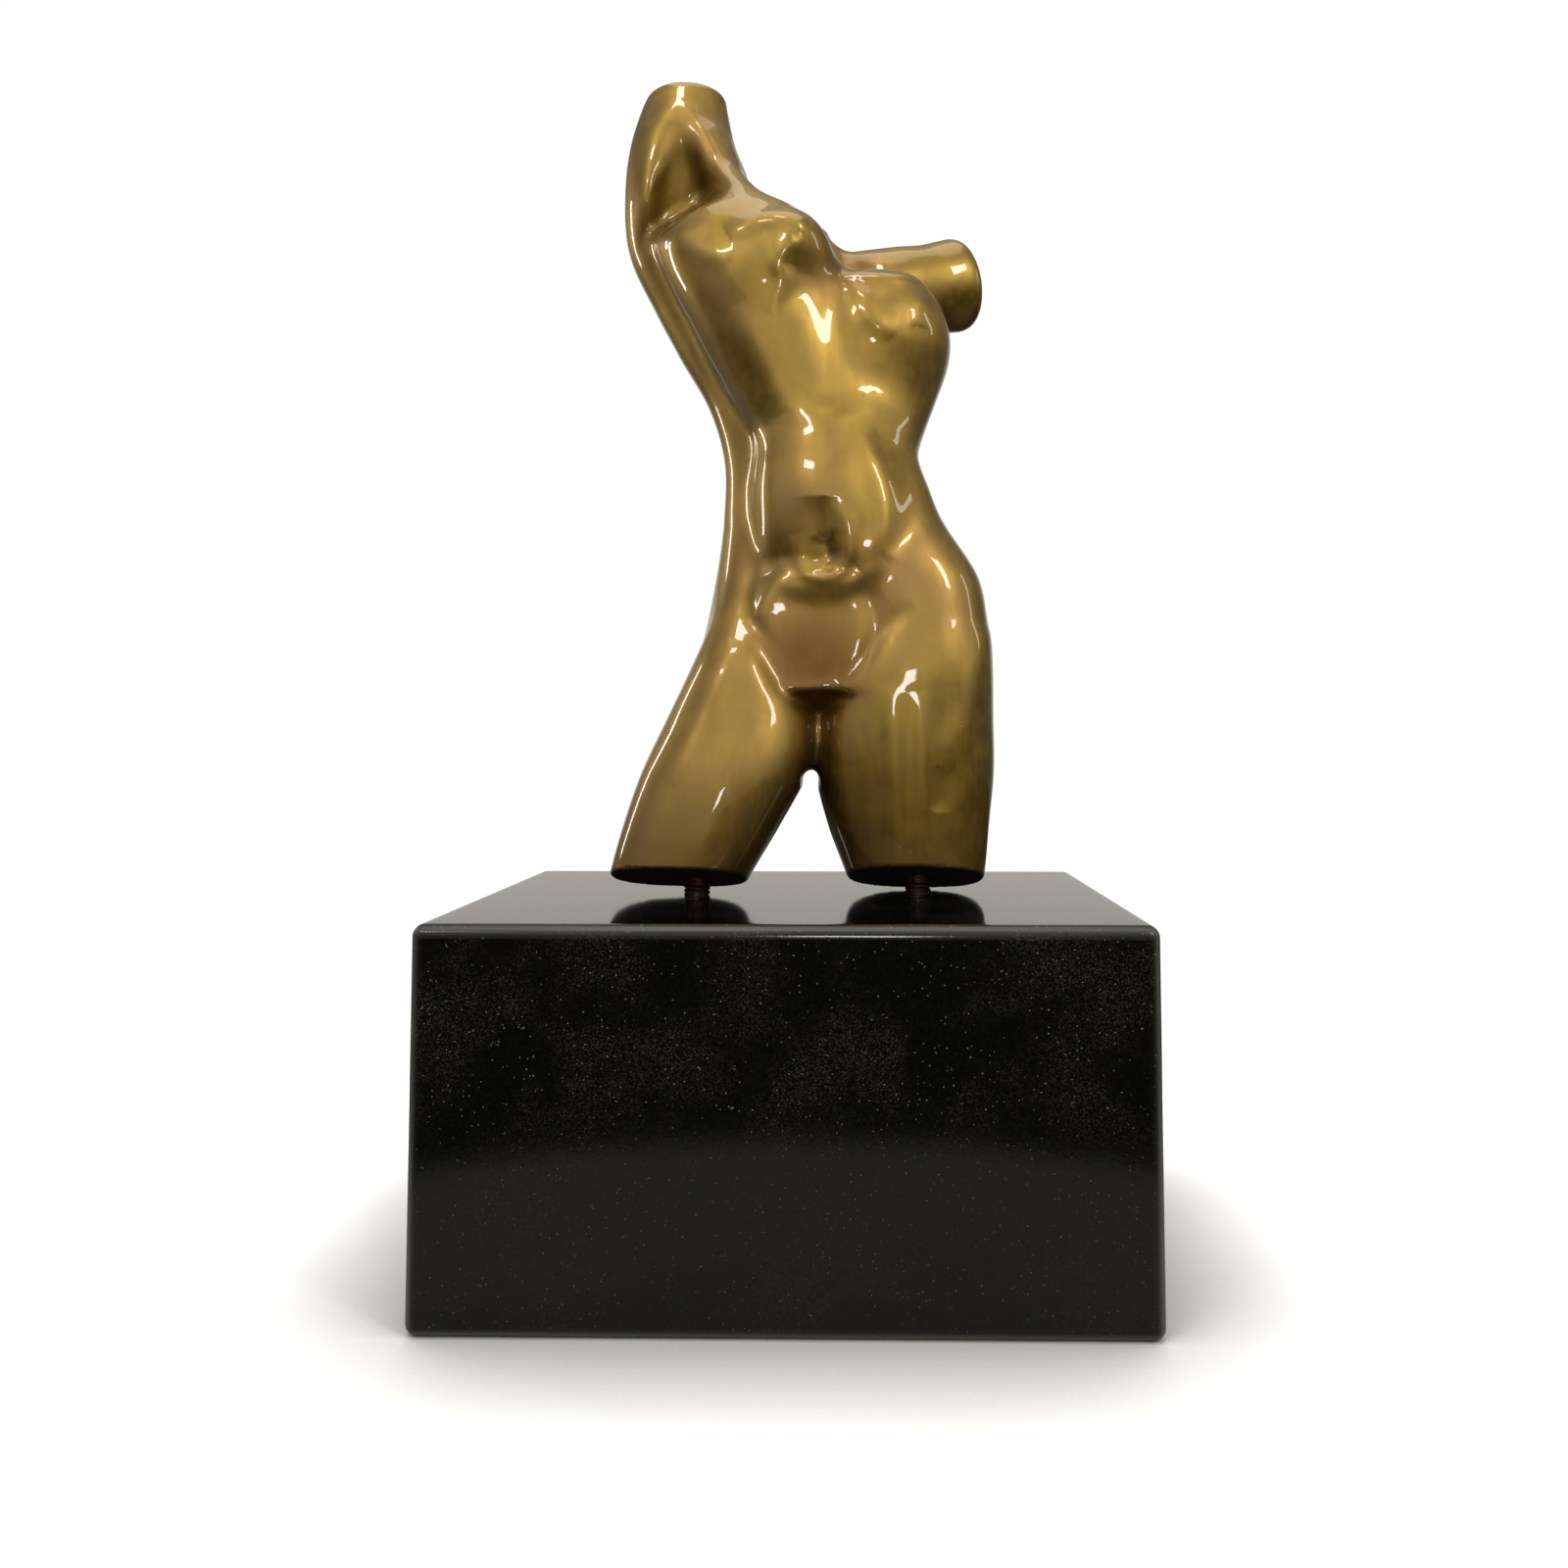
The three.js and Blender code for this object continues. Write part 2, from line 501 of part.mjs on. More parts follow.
// Closed net of facets over the surface where the distance is nought: one point in each cell of a
// grid that the surface crosses, and one four-sided facet over each grid edge that it crosses
function netOver(distanceAt, box, step) {
  const counts = box.low.map((low, i) => Math.ceil((box.high[i] - low) / step) + 1);
  const index = (i, j, k) => (i * counts[1] + j) * counts[2] + k;
  const placeOf = (corner) => corner.map((value, i) => box.low[i] + value * step);
  const distances = new Float64Array(counts[0] * counts[1] * counts[2]);
  for (let i = 0; i < counts[0]; i += 1) {
    for (let j = 0; j < counts[1]; j += 1) {
      for (let k = 0; k < counts[2]; k += 1) {
        distances[index(i, j, k)] = distanceAt(placeOf([i, j, k]));
      }
    }
  }
  const inside = (i, j, k) => distances[index(i, j, k)] < 0;
  for (let pass = 0; pass < OPENING_PASSES; pass += 1) {
    for (let i = 0; i < counts[0] - 1; i += 1) {
      for (let j = 0; j < counts[1] - 1; j += 1) {
        for (let k = 0; k < counts[2] - 1; k += 1) {
          openDoubleCrossings(distances, index, [i, j, k]);
        }
      }
    }
  }

  const points = [];
  const pointOfCell = new Map();
  const pointIn = (i, j, k) => {
    const cell = index(i, j, k);
    if (!pointOfCell.has(cell)) {
      const sum = [0, 0, 0];
      let crossings = 0;
      for (let corner = 0; corner < 8; corner += 1) {
        const from = [i + (corner & 1), j + ((corner >> 1) & 1), k + ((corner >> 2) & 1)];
        for (let axis = 0; axis < 3; axis += 1) {
          const to = from.slice();
          to[axis] += 1;
          const start = distances[index(...from)];
          const end = distances[index(...to)];
          const ownEdge = ((corner >> axis) & 1) === 0;
          if (ownEdge && start < 0 !== end < 0) {
            const crossing = from.slice();
            crossing[axis] += start / (start - end);
            crossing.forEach((value, n) => {
              sum[n] += value;
            });
            crossings += 1;
          }
        }
      }
      const start = placeOf(sum.map((value) => value / crossings));
      pointOfCell.set(cell, points.length);
      points.push(settle(distanceAt, start, step * SETTLE_REACH));
    }
    return pointOfCell.get(cell);
  };

  const gap = (a, b) => Math.hypot(...points[a].map((value, i) => value - points[b][i]));
  const facets = [];
  const addFacet = (corners) => {
    const [a, b, c, d] = corners;
    if (gap(a, c) <= gap(b, d)) facets.push(a, b, c, a, c, d);
    else facets.push(a, b, d, b, c, d);
  };
  for (let i = 1; i < counts[0] - 1; i += 1) {
    for (let j = 1; j < counts[1] - 1; j += 1) {
      for (let k = 1; k < counts[2] - 1; k += 1) {
        for (let axis = 0; axis < 3; axis += 1) {
          const to = [i, j, k];
          to[axis] += 1;
          const here = inside(i, j, k);
          if (here !== inside(...to)) {
            const [first, second] = [(axis + 1) % 3, (axis + 2) % 3];
            const cells = [[1, 1], [0, 1], [0, 0], [1, 0]].map(([stepBack, stepDown]) => {
              const cell = [i, j, k];
              cell[first] -= stepBack;
              cell[second] -= stepDown;
              return pointIn(...cell);
            });
            addFacet(here ? cells : cells.reverse());
          }
        }
      }
    }
  }
  return { points, facets };
}

// Geometry holding nothing but merged positions, ready for cutting and joining
function geometryOf(positions, indices) {
  const geometry = new THREE.BufferGeometry();
  geometry.setAttribute('position', new THREE.BufferAttribute(new Float32Array(positions), 3));
  geometry.setIndex(indices);
  return geometry;
}

function bareGeometry(geometry) {
  const bare = geometry.clone();
  for (const name of Object.keys(bare.attributes)) {
    if (name !== 'position') bare.deleteAttribute(name);
  }
  return mergeVertices(bare, SAME_POINT);
}

const solids = await Module();
solids.setup();

function solidOf(geometry) {
  const bare = bareGeometry(geometry);
  return new solids.Manifold(
    new solids.Mesh({
      numProp: 3,
      vertProperties: new Float32Array(bare.attributes.position.array),
      triVerts: new Uint32Array(bare.index.array),
    }),
  );
}

// Geometry of a solid, with the ends of every edge that is too short to hold welded into one point
function geometryFrom(solid) {
  const mesh = solid.getMesh();
  const corner = (i) => new THREE.Vector3().fromArray(mesh.vertProperties, 3 * i);
  const weldedTo = Array.from({ length: mesh.vertProperties.length / 3 }, (_, i) => i);
  const welded = (i) => (weldedTo[i] === i ? i : welded(weldedTo[i]));
  for (let i = 0; i < mesh.triVerts.length; i += 3) {
    for (let n = 0; n < 3; n += 1) {
      const start = mesh.triVerts[i + n];
      const end = mesh.triVerts[i + ((n + 1) % 3)];
      if (corner(start).distanceTo(corner(end)) < SHORTEST_EDGE) {
        const [low, high] = [welded(start), welded(end)].sort((a, b) => a - b);
        weldedTo[high] = low;
      }
    }
  }
  const facets = [];
  for (let i = 0; i < mesh.triVerts.length; i += 3) {
    const corners = [0, 1, 2].map((n) => welded(mesh.triVerts[i + n]));
    if (new Set(corners).size === 3) facets.push(...corners);
  }
  const flat = geometryOf(mesh.vertProperties, facets).toNonIndexed();
  flat.computeVertexNormals();
  return flat;
}

// Where things are, in millimetres
const HUNDREDTH = FIGURE_HEIGHT / 100;
const FIGURE_ZERO = BLOCK_HEIGHT + FIGURE_LIFT;
const SIDES = [
  {
    name: 'left',
    outward: -1,
    stud: LEFT_STUD_AT,
    cutHeight: LEFT_CUT_HEIGHT,
    tilt: LEFT_CUT_TILT,
    roll: LEFT_CUT_ROLL,
  },
  {
    name: 'right',
    outward: 1,
    stud: RIGHT_STUD_AT,
    cutHeight: RIGHT_CUT_HEIGHT,
    tilt: RIGHT_CUT_TILT,
    roll: RIGHT_CUT_ROLL,
  },
].map((side) => ({
  ...side,
  x: side.stud[0] * HUNDREDTH,
  y: side.stud[1] * HUNDREDTH,
  cutZ: BLOCK_HEIGHT + side.cutHeight,
}));

function uprightBar(diameter, low, high, x, y) {
  const bar = new THREE.CylinderGeometry(diameter / 2, diameter / 2, high - low, STUD_SIDES);
  bar.rotateX(Math.PI / 2);
  bar.translate(x, y, (low + high) / 2);
  return bar;
}

const studBottom = BLOCK_HEIGHT - STUD_IN_BLOCK;
const studTop = (side) => side.cutZ + STUD_IN_THIGH;

// Drilled hole round a stud, its end one clearance past the stud's
function studHole(side) {
  const low = studBottom - STUD_CLEARANCE;
  const high = studTop(side) + STUD_CLEARANCE;
  return solidOf(uprightBar(STUD_DIAMETER + 2 * STUD_CLEARANCE, low, high, side.x, side.y));
}

// Everything below one thigh's cut
function belowCut(side) {
  const size = FIGURE_HEIGHT;
  const box = new THREE.BoxGeometry(size, size, size);
  box.translate(0, 0, -size / 2);
  box.rotateX(-side.tilt);
  const inner = BETWEEN_THE_LEGS * HUNDREDTH;
  box.translate(inner + (side.outward * size) / 2 - side.x, 0, 0);
  box.rotateY(side.roll);
  box.translate(side.x, side.y, side.cutZ);
  return solidOf(box);
}

function buildTorso() {
  const net = netOver(figureDistance, FIGURE_BOX, FACET / HUNDREDTH);
  const positions = net.points.flatMap(([x, y, z]) => [
    x * HUNDREDTH,
    y * HUNDREDTH,
    FIGURE_ZERO + z * HUNDREDTH,
  ]);
  let torso = solidOf(geometryOf(positions, net.facets));
  for (const side of SIDES) torso = torso.subtract(belowCut(side)).subtract(studHole(side));
  return geometryFrom(torso);
}

function buildBlock() {
  const sizes = [BLOCK_WIDTH, BLOCK_DEPTH, BLOCK_HEIGHT];
  const block = new RoundedBoxGeometry(...sizes, BLOCK_EDGE_STEPS, BLOCK_EDGE_RADIUS);
  block.translate(0, 0, BLOCK_HEIGHT / 2);
  let solid = solidOf(block);
  for (const side of SIDES) solid = solid.subtract(studHole(side));
  return geometryFrom(solid);
}

function named(name, geometry, material) {
  const mesh = new THREE.Mesh(geometry, material);
  mesh.name = name;
  return mesh;
}

const bronze = new THREE.MeshStandardMaterial({ color: 0x96783c, roughness: 0.28, metalness: 1 });
const steel = new THREE.MeshStandardMaterial({ color: 0x3a322c, roughness: 0.5, metalness: 1 });
const granite = new THREE.MeshStandardMaterial({ color: 0x1c1c1a, roughness: 0.15, metalness: 0 });

const sculpture = new THREE.Group();
sculpture.name = 'bronze_torso_sculpture';
sculpture.add(named('torso', buildTorso(), bronze));
for (const side of SIDES) {
  const stud = uprightBar(STUD_DIAMETER, studBottom, studTop(side), side.x, side.y);
  sculpture.add(named(`stud_${side.name}`, stud, steel.clone()));
}
sculpture.add(named('plinth', buildBlock(), granite));

export default sculpture;
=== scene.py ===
"""A cast bronze torso on a block of polished black granite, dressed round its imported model.

Metres, x to the viewer's right, y away from the viewer, z up. The origin is the middle of the
block's underside. The figure's own forms are in hundredths of its height.
"""

import json
import logging
import math
from dataclasses import dataclass
from enum import Enum
from functools import partial
from typing import Any, Callable

import bpy
import numpy as np
from mathutils import Matrix, Vector

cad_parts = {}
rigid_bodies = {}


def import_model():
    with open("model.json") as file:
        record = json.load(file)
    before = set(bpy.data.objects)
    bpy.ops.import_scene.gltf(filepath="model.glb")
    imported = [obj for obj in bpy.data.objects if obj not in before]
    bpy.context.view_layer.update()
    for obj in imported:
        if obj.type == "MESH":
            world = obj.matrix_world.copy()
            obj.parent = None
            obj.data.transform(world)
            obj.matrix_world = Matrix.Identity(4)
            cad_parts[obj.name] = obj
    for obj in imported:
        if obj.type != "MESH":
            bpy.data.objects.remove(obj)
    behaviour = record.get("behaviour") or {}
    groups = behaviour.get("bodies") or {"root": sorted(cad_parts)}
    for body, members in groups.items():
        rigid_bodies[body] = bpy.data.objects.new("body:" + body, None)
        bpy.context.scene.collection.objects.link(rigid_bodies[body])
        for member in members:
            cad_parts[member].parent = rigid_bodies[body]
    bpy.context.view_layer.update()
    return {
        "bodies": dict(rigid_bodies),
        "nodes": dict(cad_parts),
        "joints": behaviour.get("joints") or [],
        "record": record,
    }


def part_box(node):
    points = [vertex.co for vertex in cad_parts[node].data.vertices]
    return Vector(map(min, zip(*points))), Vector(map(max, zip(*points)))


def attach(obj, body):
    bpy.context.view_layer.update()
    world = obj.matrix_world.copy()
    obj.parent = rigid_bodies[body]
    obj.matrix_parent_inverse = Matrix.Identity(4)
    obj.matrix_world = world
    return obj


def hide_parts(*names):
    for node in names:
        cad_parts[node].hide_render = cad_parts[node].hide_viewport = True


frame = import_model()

LOG = logging.getLogger("torso")
MILLIMETRE = 0.001

Points = np.ndarray
Distances = np.ndarray
Stations = tuple[tuple[float, ...], ...]
Pair = tuple[float, float]
Triple = tuple[float, float, float]
NodeTree = bpy.types.NodeTree
NodeSocket = bpy.types.NodeSocket
Adder = Callable[..., Any]

# The figure's swept forms, in hundredths of its height, x and y from the block's middle and z from
# the figure's own zero: height, middle x, middle y, half width, half depth, turn in degrees.
CHEST_AND_LOIN: Stations = (
    (14.0, 3.0, 0.5, 8.0, 7.5, -12),
    (22.0, 4.5, 0.3, 11.5, 8.2, -12),
    (30.0, 6.9, 0.0, 13.7, 8.2, -12),
    (36.0, 8.0, -0.2, 13.3, 8.6, -11),
    (42.0, 6.8, -0.2, 11.2, 8.6, -5),
    (47.0, 5.7, 0.0, 10.2, 8.4, 2),
    (52.0, 4.8, 1.0, 9.6, 8.2, 9),
    (58.0, 4.3, 2.2, 12.0, 8.8, 17),
    (66.5, 3.2, 4.2, 16.0, 9.8, 25),
    (73.5, 1.2, 6.2, 18.0, 10.2, 28),
    (79.0, -1.0, 7.6, 18.0, 10.0, 30),
    (84.0, -5.0, 8.2, 14.5, 9.2, 30),
    (90.0, -9.0, 8.8, 10.0, 8.0, 30),
)
LEFT_BACK: Stations = (
    (14.0, -3.5, 3.6, 8.0, 7.4, 0),
    (22.0, -3.0, 4.5, 9.4, 8.6, 0),
    (30.0, -1.7, 4.6, 9.3, 9.0, 0),
    (37.0, -1.7, 4.5, 8.1, 8.4, 0),
    (45.0, -2.2, 4.9, 6.9, 6.9, 0),
    (52.0, -2.6, 5.8, 6.6, 6.3, 0),
    (59.0, -4.6, 7.4, 6.7, 6.5, 0),
    (66.5, -8.6, 9.2, 6.9, 6.8, 0),
    (75.0, -12.5, 10.4, 7.2, 7.0, 0),
    (84.0, -14.2, 10.8, 7.8, 7.0, 0),
)
RIGHT_BACK: Stations = (
    (22.0, 13.0, 4.0, 8.0, 8.0, 0),
    (37.0, 12.0, 5.5, 7.5, 7.8, 0),
    (45.0, 9.5, 6.2, 6.1, 6.8, 0),
    (52.0, 8.2, 7.4, 6.0, 6.5, 0),
    (59.0, 8.5, 9.5, 7.0, 7.0, 0),
    (68.0, 8.5, 12.0, 8.0, 7.5, 0),
    (76.0, 8.0, 14.0, 8.0, 7.0, 0),
)
RAISED_ARM: Stations = (
    (69.0, -9.0, 9.6, 3.4, 3.6, 0),
    (77.0, -13.4, 9.8, 6.6, 6.4, 0),
    (84.0, -14.2, 9.6, 8.0, 8.0, 0),
    (89.0, -14.5, 9.8, 7.9, 7.7, 0),
    (94.0, -15.1, 10.2, 6.7, 7.0, 0),
    (98.5, -15.0, 10.6, 5.6, 5.7, 0),
    (101.0, -14.7, 10.8, 4.9, 5.1, 0),
)
LEFT_THIGH: Stations = (
    (-3.0, -14.6, -6.4, 7.1, 7.2, 0),
    (2.0, -13.0, -5.8, 7.9, 7.7, 0),
    (8.0, -10.5, -5.0, 8.9, 8.4, 0),
    (14.0, -8.0, -3.8, 9.5, 9.0, 0),
    (20.0, -6.3, -2.2, 8.6, 9.1, 0),
    (26.0, -6.2, -1.1, 6.0, 8.9, 0),
    (31.0, -5.7, 0.4, 4.6, 7.6, 0),
    (37.0, -5.0, 2.4, 3.8, 5.6, 0),
    (44.0, -4.0, 4.0, 3.0, 3.8, 0),
)
RIGHT_THIGH: Stations = (
    (-3.0, 14.3, -1.9, 7.0, 6.9, 0),
    (2.0, 13.9, -1.5, 8.0, 7.4, 0),
    (8.0, 13.1, -1.2, 9.4, 8.3, 0),
    (14.0, 12.7, -1.0, 10.4, 9.1, 0),
    (20.0, 12.9, -0.8, 10.2, 9.6, 0),
    (26.0, 14.0, -0.9, 9.0, 9.6, 0),
    (31.0, 15.0, -0.5, 7.6, 9.2, 0),
    (37.0, 15.2, 0.0, 5.6, 8.4, 0),
    (44.0, 12.4, 1.0, 3.8, 6.4, 0),
)
ARM_STUMP: Stations = (
    (0.0, 0.0, 0.0, 5.0, 5.4, 0),
    (6.0, 0.0, 0.0, 5.5, 5.6, 0),
    (14.6, 0.0, 0.0, 6.2, 5.9, 0),
)
THIGH_END = -4.0
# How widely two forms melt into each other, from a sharp edge to a flowing passage.
FINE_EDGE, EDGE, LOIN_EDGE, CUT_EDGE, CROTCH_EDGE, CREASE = 0.2, 0.4, 0.6, 0.8, 1.0, 1.2
SEAT_CREASE, SOFT, THIGH_CREASE, NECK_FOOT, FULL, BROAD, FLOWING = 1.5, 2.0, 2.4, 2.5, 3.0, 4.0, 5.0
# A stroke's curve has this many steps from knot to knot. Its bell reaches this many widths out,
# and it fades over this depth.
CURVE_STEPS = 6
BELL_REACH = 2.6
FADE_DEPTH = 4.0
FIGURE_BOX: tuple[Triple, Triple] = ((-26.0, -18.0, -8.0), (28.0, 26.0, 106.0))


def join(a: Distances, b: Distances, width: float) -> Distances:
    """Two forms that melt into each other over the given width."""
    near = np.maximum(width - np.abs(a - b), 0.0) / width
    return np.minimum(a, b) - near * near * width / 4


def trim(a: Distances, b: Distances, width: float) -> Distances:
    """The part of a form that lies inside another, its edge rounded over the given width."""
    return -join(-a, -b, width)


def values_at(stations: Stations, heights: np.ndarray) -> list[np.ndarray]:
    """Values of a table of stations, on a smooth curve through its rows.

    Args:
        stations: The rows, each with its height first.
        heights: Where the values are wanted; past the ends the end rows hold.

    Returns:
        One array for each further column of the table.
    """
    rows = np.array(stations, float)
    place, columns = rows[:, 0], rows[:, 1:]
    last = len(rows) - 1
    numbers = np.arange(last + 1)
    before, after = np.maximum(numbers - 1, 0), np.minimum(numbers + 1, last)
    slopes = (columns[after] - columns[before]) / (place[after] - place[before])[:, None]
    t = np.clip(heights, place[0], place[last])
    i = np.clip(np.searchsorted(place, t, side="right") - 1, 0, last - 1)
    span = place[i + 1] - place[i]
    s = (t - place[i]) / span
    start, end = 2 * s**3 - 3 * s**2 + 1, 3 * s**2 - 2 * s**3
    start_slope, end_slope = (s**3 - 2 * s**2 + s) * span, (s**3 - s**2) * span
    return [
        start * columns[i, n] + start_slope * slopes[i, n]
        + end * columns[i + 1, n] + end_slope * slopes[i + 1, n]
        for n in range(columns.shape[1])
    ]


def oval_distance(
    u: np.ndarray, v: np.ndarray, half_width: Any, half_depth: Any, squareness: float = 2.0
) -> Distances:
    """Distance to an oval. A squareness of 2 is an ellipse, more is boxier.

    Args:
        u: Places along the oval's width.
        v: Places along its depth.
        half_width: Half the width, one value or one for each place.
        half_depth: Half the depth, the same way.
        squareness: The power in the oval's formula.

    Returns:
        The distance, negative inside.
    """
    a, b = np.abs(u / half_width), np.abs(v / half_depth)
    size = np.maximum(a**squareness + b**squareness, 1e-9) ** (1 / squareness)
    scale = size ** (1 - squareness)
    across = a ** (squareness - 1) * scale / half_width
    along = b ** (squareness - 1) * scale / half_depth
    return (size - 1) / np.maximum(np.hypot(across, along), 1e-3)


@dataclass(frozen=True)
class Swept:
    """A form swept along z through its stations."""

    stations: Stations
    end_rounding: float
    squareness: float = 2.0
    open_below: bool = False

    def distance(self, p: Points) -> Distances:
        """Distance from the points to the form's skin."""
        middle_x, middle_y, half_width, half_depth, turn = values_at(self.stations, p[2])
        c, s = np.cos(np.radians(turn)), np.sin(np.radians(turn))
        x, y = p[0] - middle_x, p[1] - middle_y
        skin = oval_distance(x * c + y * s, y * c - x * s, half_width, half_depth, self.squareness)
        skin = trim(skin, p[2] - self.stations[-1][0], self.end_rounding)
        if self.open_below:
            return skin
        return trim(skin, self.stations[0][0] - p[2], self.end_rounding)


@dataclass(frozen=True)
class Ellipsoid:
    """An ellipsoid, turned about the upright, then tipped back, then rolled sideways, in degrees."""

    centre: Triple
    radii: Triple
    turn: float = 0.0
    tip: float = 0.0
    roll: float = 0.0

    def distance(self, p: Points) -> Distances:
        """Distance from the points to the ellipsoid's skin."""
        x, y, z = (p[i] - self.centre[i] for i in range(3))
        c, s = math.cos(math.radians(self.turn)), math.sin(math.radians(self.turn))
        x, y = x * c + y * s, y * c - x * s
        c, s = math.cos(math.radians(self.tip)), math.sin(math.radians(self.tip))
        y, z = y * c + z * s, z * c - y * s
        c, s = math.cos(math.radians(self.roll)), math.sin(math.radians(self.roll))
        x, z = x * c + z * s, z * c - x * s
        a, b, c = self.radii
        size = np.sqrt((x / a) ** 2 + (y / b) ** 2 + (z / c) ** 2)
        slope = np.sqrt((x / a**2) ** 2 + (y / b**2) ** 2 + (z / c**2) ** 2)
        return np.where(size < 1e-3, -min(self.radii), size * (size - 1) / np.maximum(slope, 1e-6))


@dataclass(frozen=True)
class TaperedPath:
    """Tapered round bars joined end to end. Each knot is a place and the radius there."""

    knots: tuple[tuple[Triple, float], ...]
    width: float = 1.0

    def distance(self, p: Points) -> Distances:
        """Distance from the points to the bars' common skin."""
        skin = None
        for (start, start_radius), (end, end_radius) in zip(self.knots, self.knots[1:]):
            along = np.subtract(end, start)
            reach = [p[i] - start[i] for i in range(3)]
            share = sum(reach[i] * along[i] for i in range(3)) / float(along @ along)
            share = np.clip(share, 0.0, 1.0)
            away = np.sqrt(sum((reach[i] - along[i] * share) ** 2 for i in range(3)))
            bar = away - (start_radius + (end_radius - start_radius) * share)
            skin = bar if skin is None else join(skin, bar, self.width)
        return skin


@dataclass(frozen=True)
class Plane:
    """A plane through a place, with the side it faces counted as outside."""

    at: Triple
    facing: Triple

    def distance(self, p: Points) -> Distances:
        """Distance in front of the plane."""
        size = math.sqrt(sum(value * value for value in self.facing))
        return sum((p[i] - self.at[i]) * self.facing[i] / size for i in range(3))


@dataclass(frozen=True)
class Stroke:
    """A soft ridge or furrow over the front, drawn along a smooth curve through (x, z) places.

    Its rise is positive for a ridge and negative for a furrow. It fades away from the curve as a
    bell of the given width, towards the curve's ends, and behind the given depth.
    """

    line: tuple[tuple[float, float], ...]
    width: float
    rise: float
    ends_behind: float = 5.0

    def curve(self) -> np.ndarray:
        """The smooth curve through the line's places, as a row of close places."""
        knots = np.array(self.line, float)
        if len(knots) == 1:
            return np.vstack((knots - (0, 0.01), knots + (0, 0.01)))
        padded = np.vstack((2 * knots[0] - knots[1], knots, 2 * knots[-1] - knots[-2]))
        share = (np.arange(CURVE_STEPS) / CURVE_STEPS)[:, None]
        spans = [
            ((2 * b) + (c - a) * share + (2 * a - 5 * b + 4 * c - d) * share**2
             + (3 * b - a - 3 * c + d) * share**3) / 2
            for a, b, c, d in zip(padded, padded[1:], padded[2:], padded[3:])
        ]
        return np.vstack((*spans, knots[-1:]))

    def rise_at(self, p: Points) -> Distances:
        """How far the skin rises at the points."""
        curve = self.curve()
        reach = BELL_REACH * self.width
        low, high = curve.min(axis=0) - reach, curve.max(axis=0) + reach
        near = (p[0] > low[0]) & (p[0] < high[0]) & (p[2] > low[1]) & (p[2] < high[1])
        near &= p[1] < self.ends_behind
        x, y, z = p[0][near], p[1][near], p[2][near]
        away, along = np.full(x.shape, np.inf), np.zeros(x.shape)
        steps = len(curve) - 1
        for number, ((x0, z0), (x1, z1)) in enumerate(zip(curve, curve[1:])):
            dx, dz = x1 - x0, z1 - z0
            share = np.clip(((x - x0) * dx + (z - z0) * dz) / (dx * dx + dz * dz), 0.0, 1.0)
            here = (x - x0 - dx * share) ** 2 + (z - z0 - dz * share) ** 2
            along = np.where(here < away, (number + share) / steps, along)
            away = np.minimum(away, here)
        ends = 1.0 if len(self.line) == 1 else 1 - np.abs(2 * along - 1) ** 3
        front = np.clip((self.ends_behind - y) / FADE_DEPTH, 0.0, 1.0)
        rise = np.zeros(p[0].shape)
        rise[near] = self.rise * ends * front * np.exp(-away / self.width**2)
        return rise


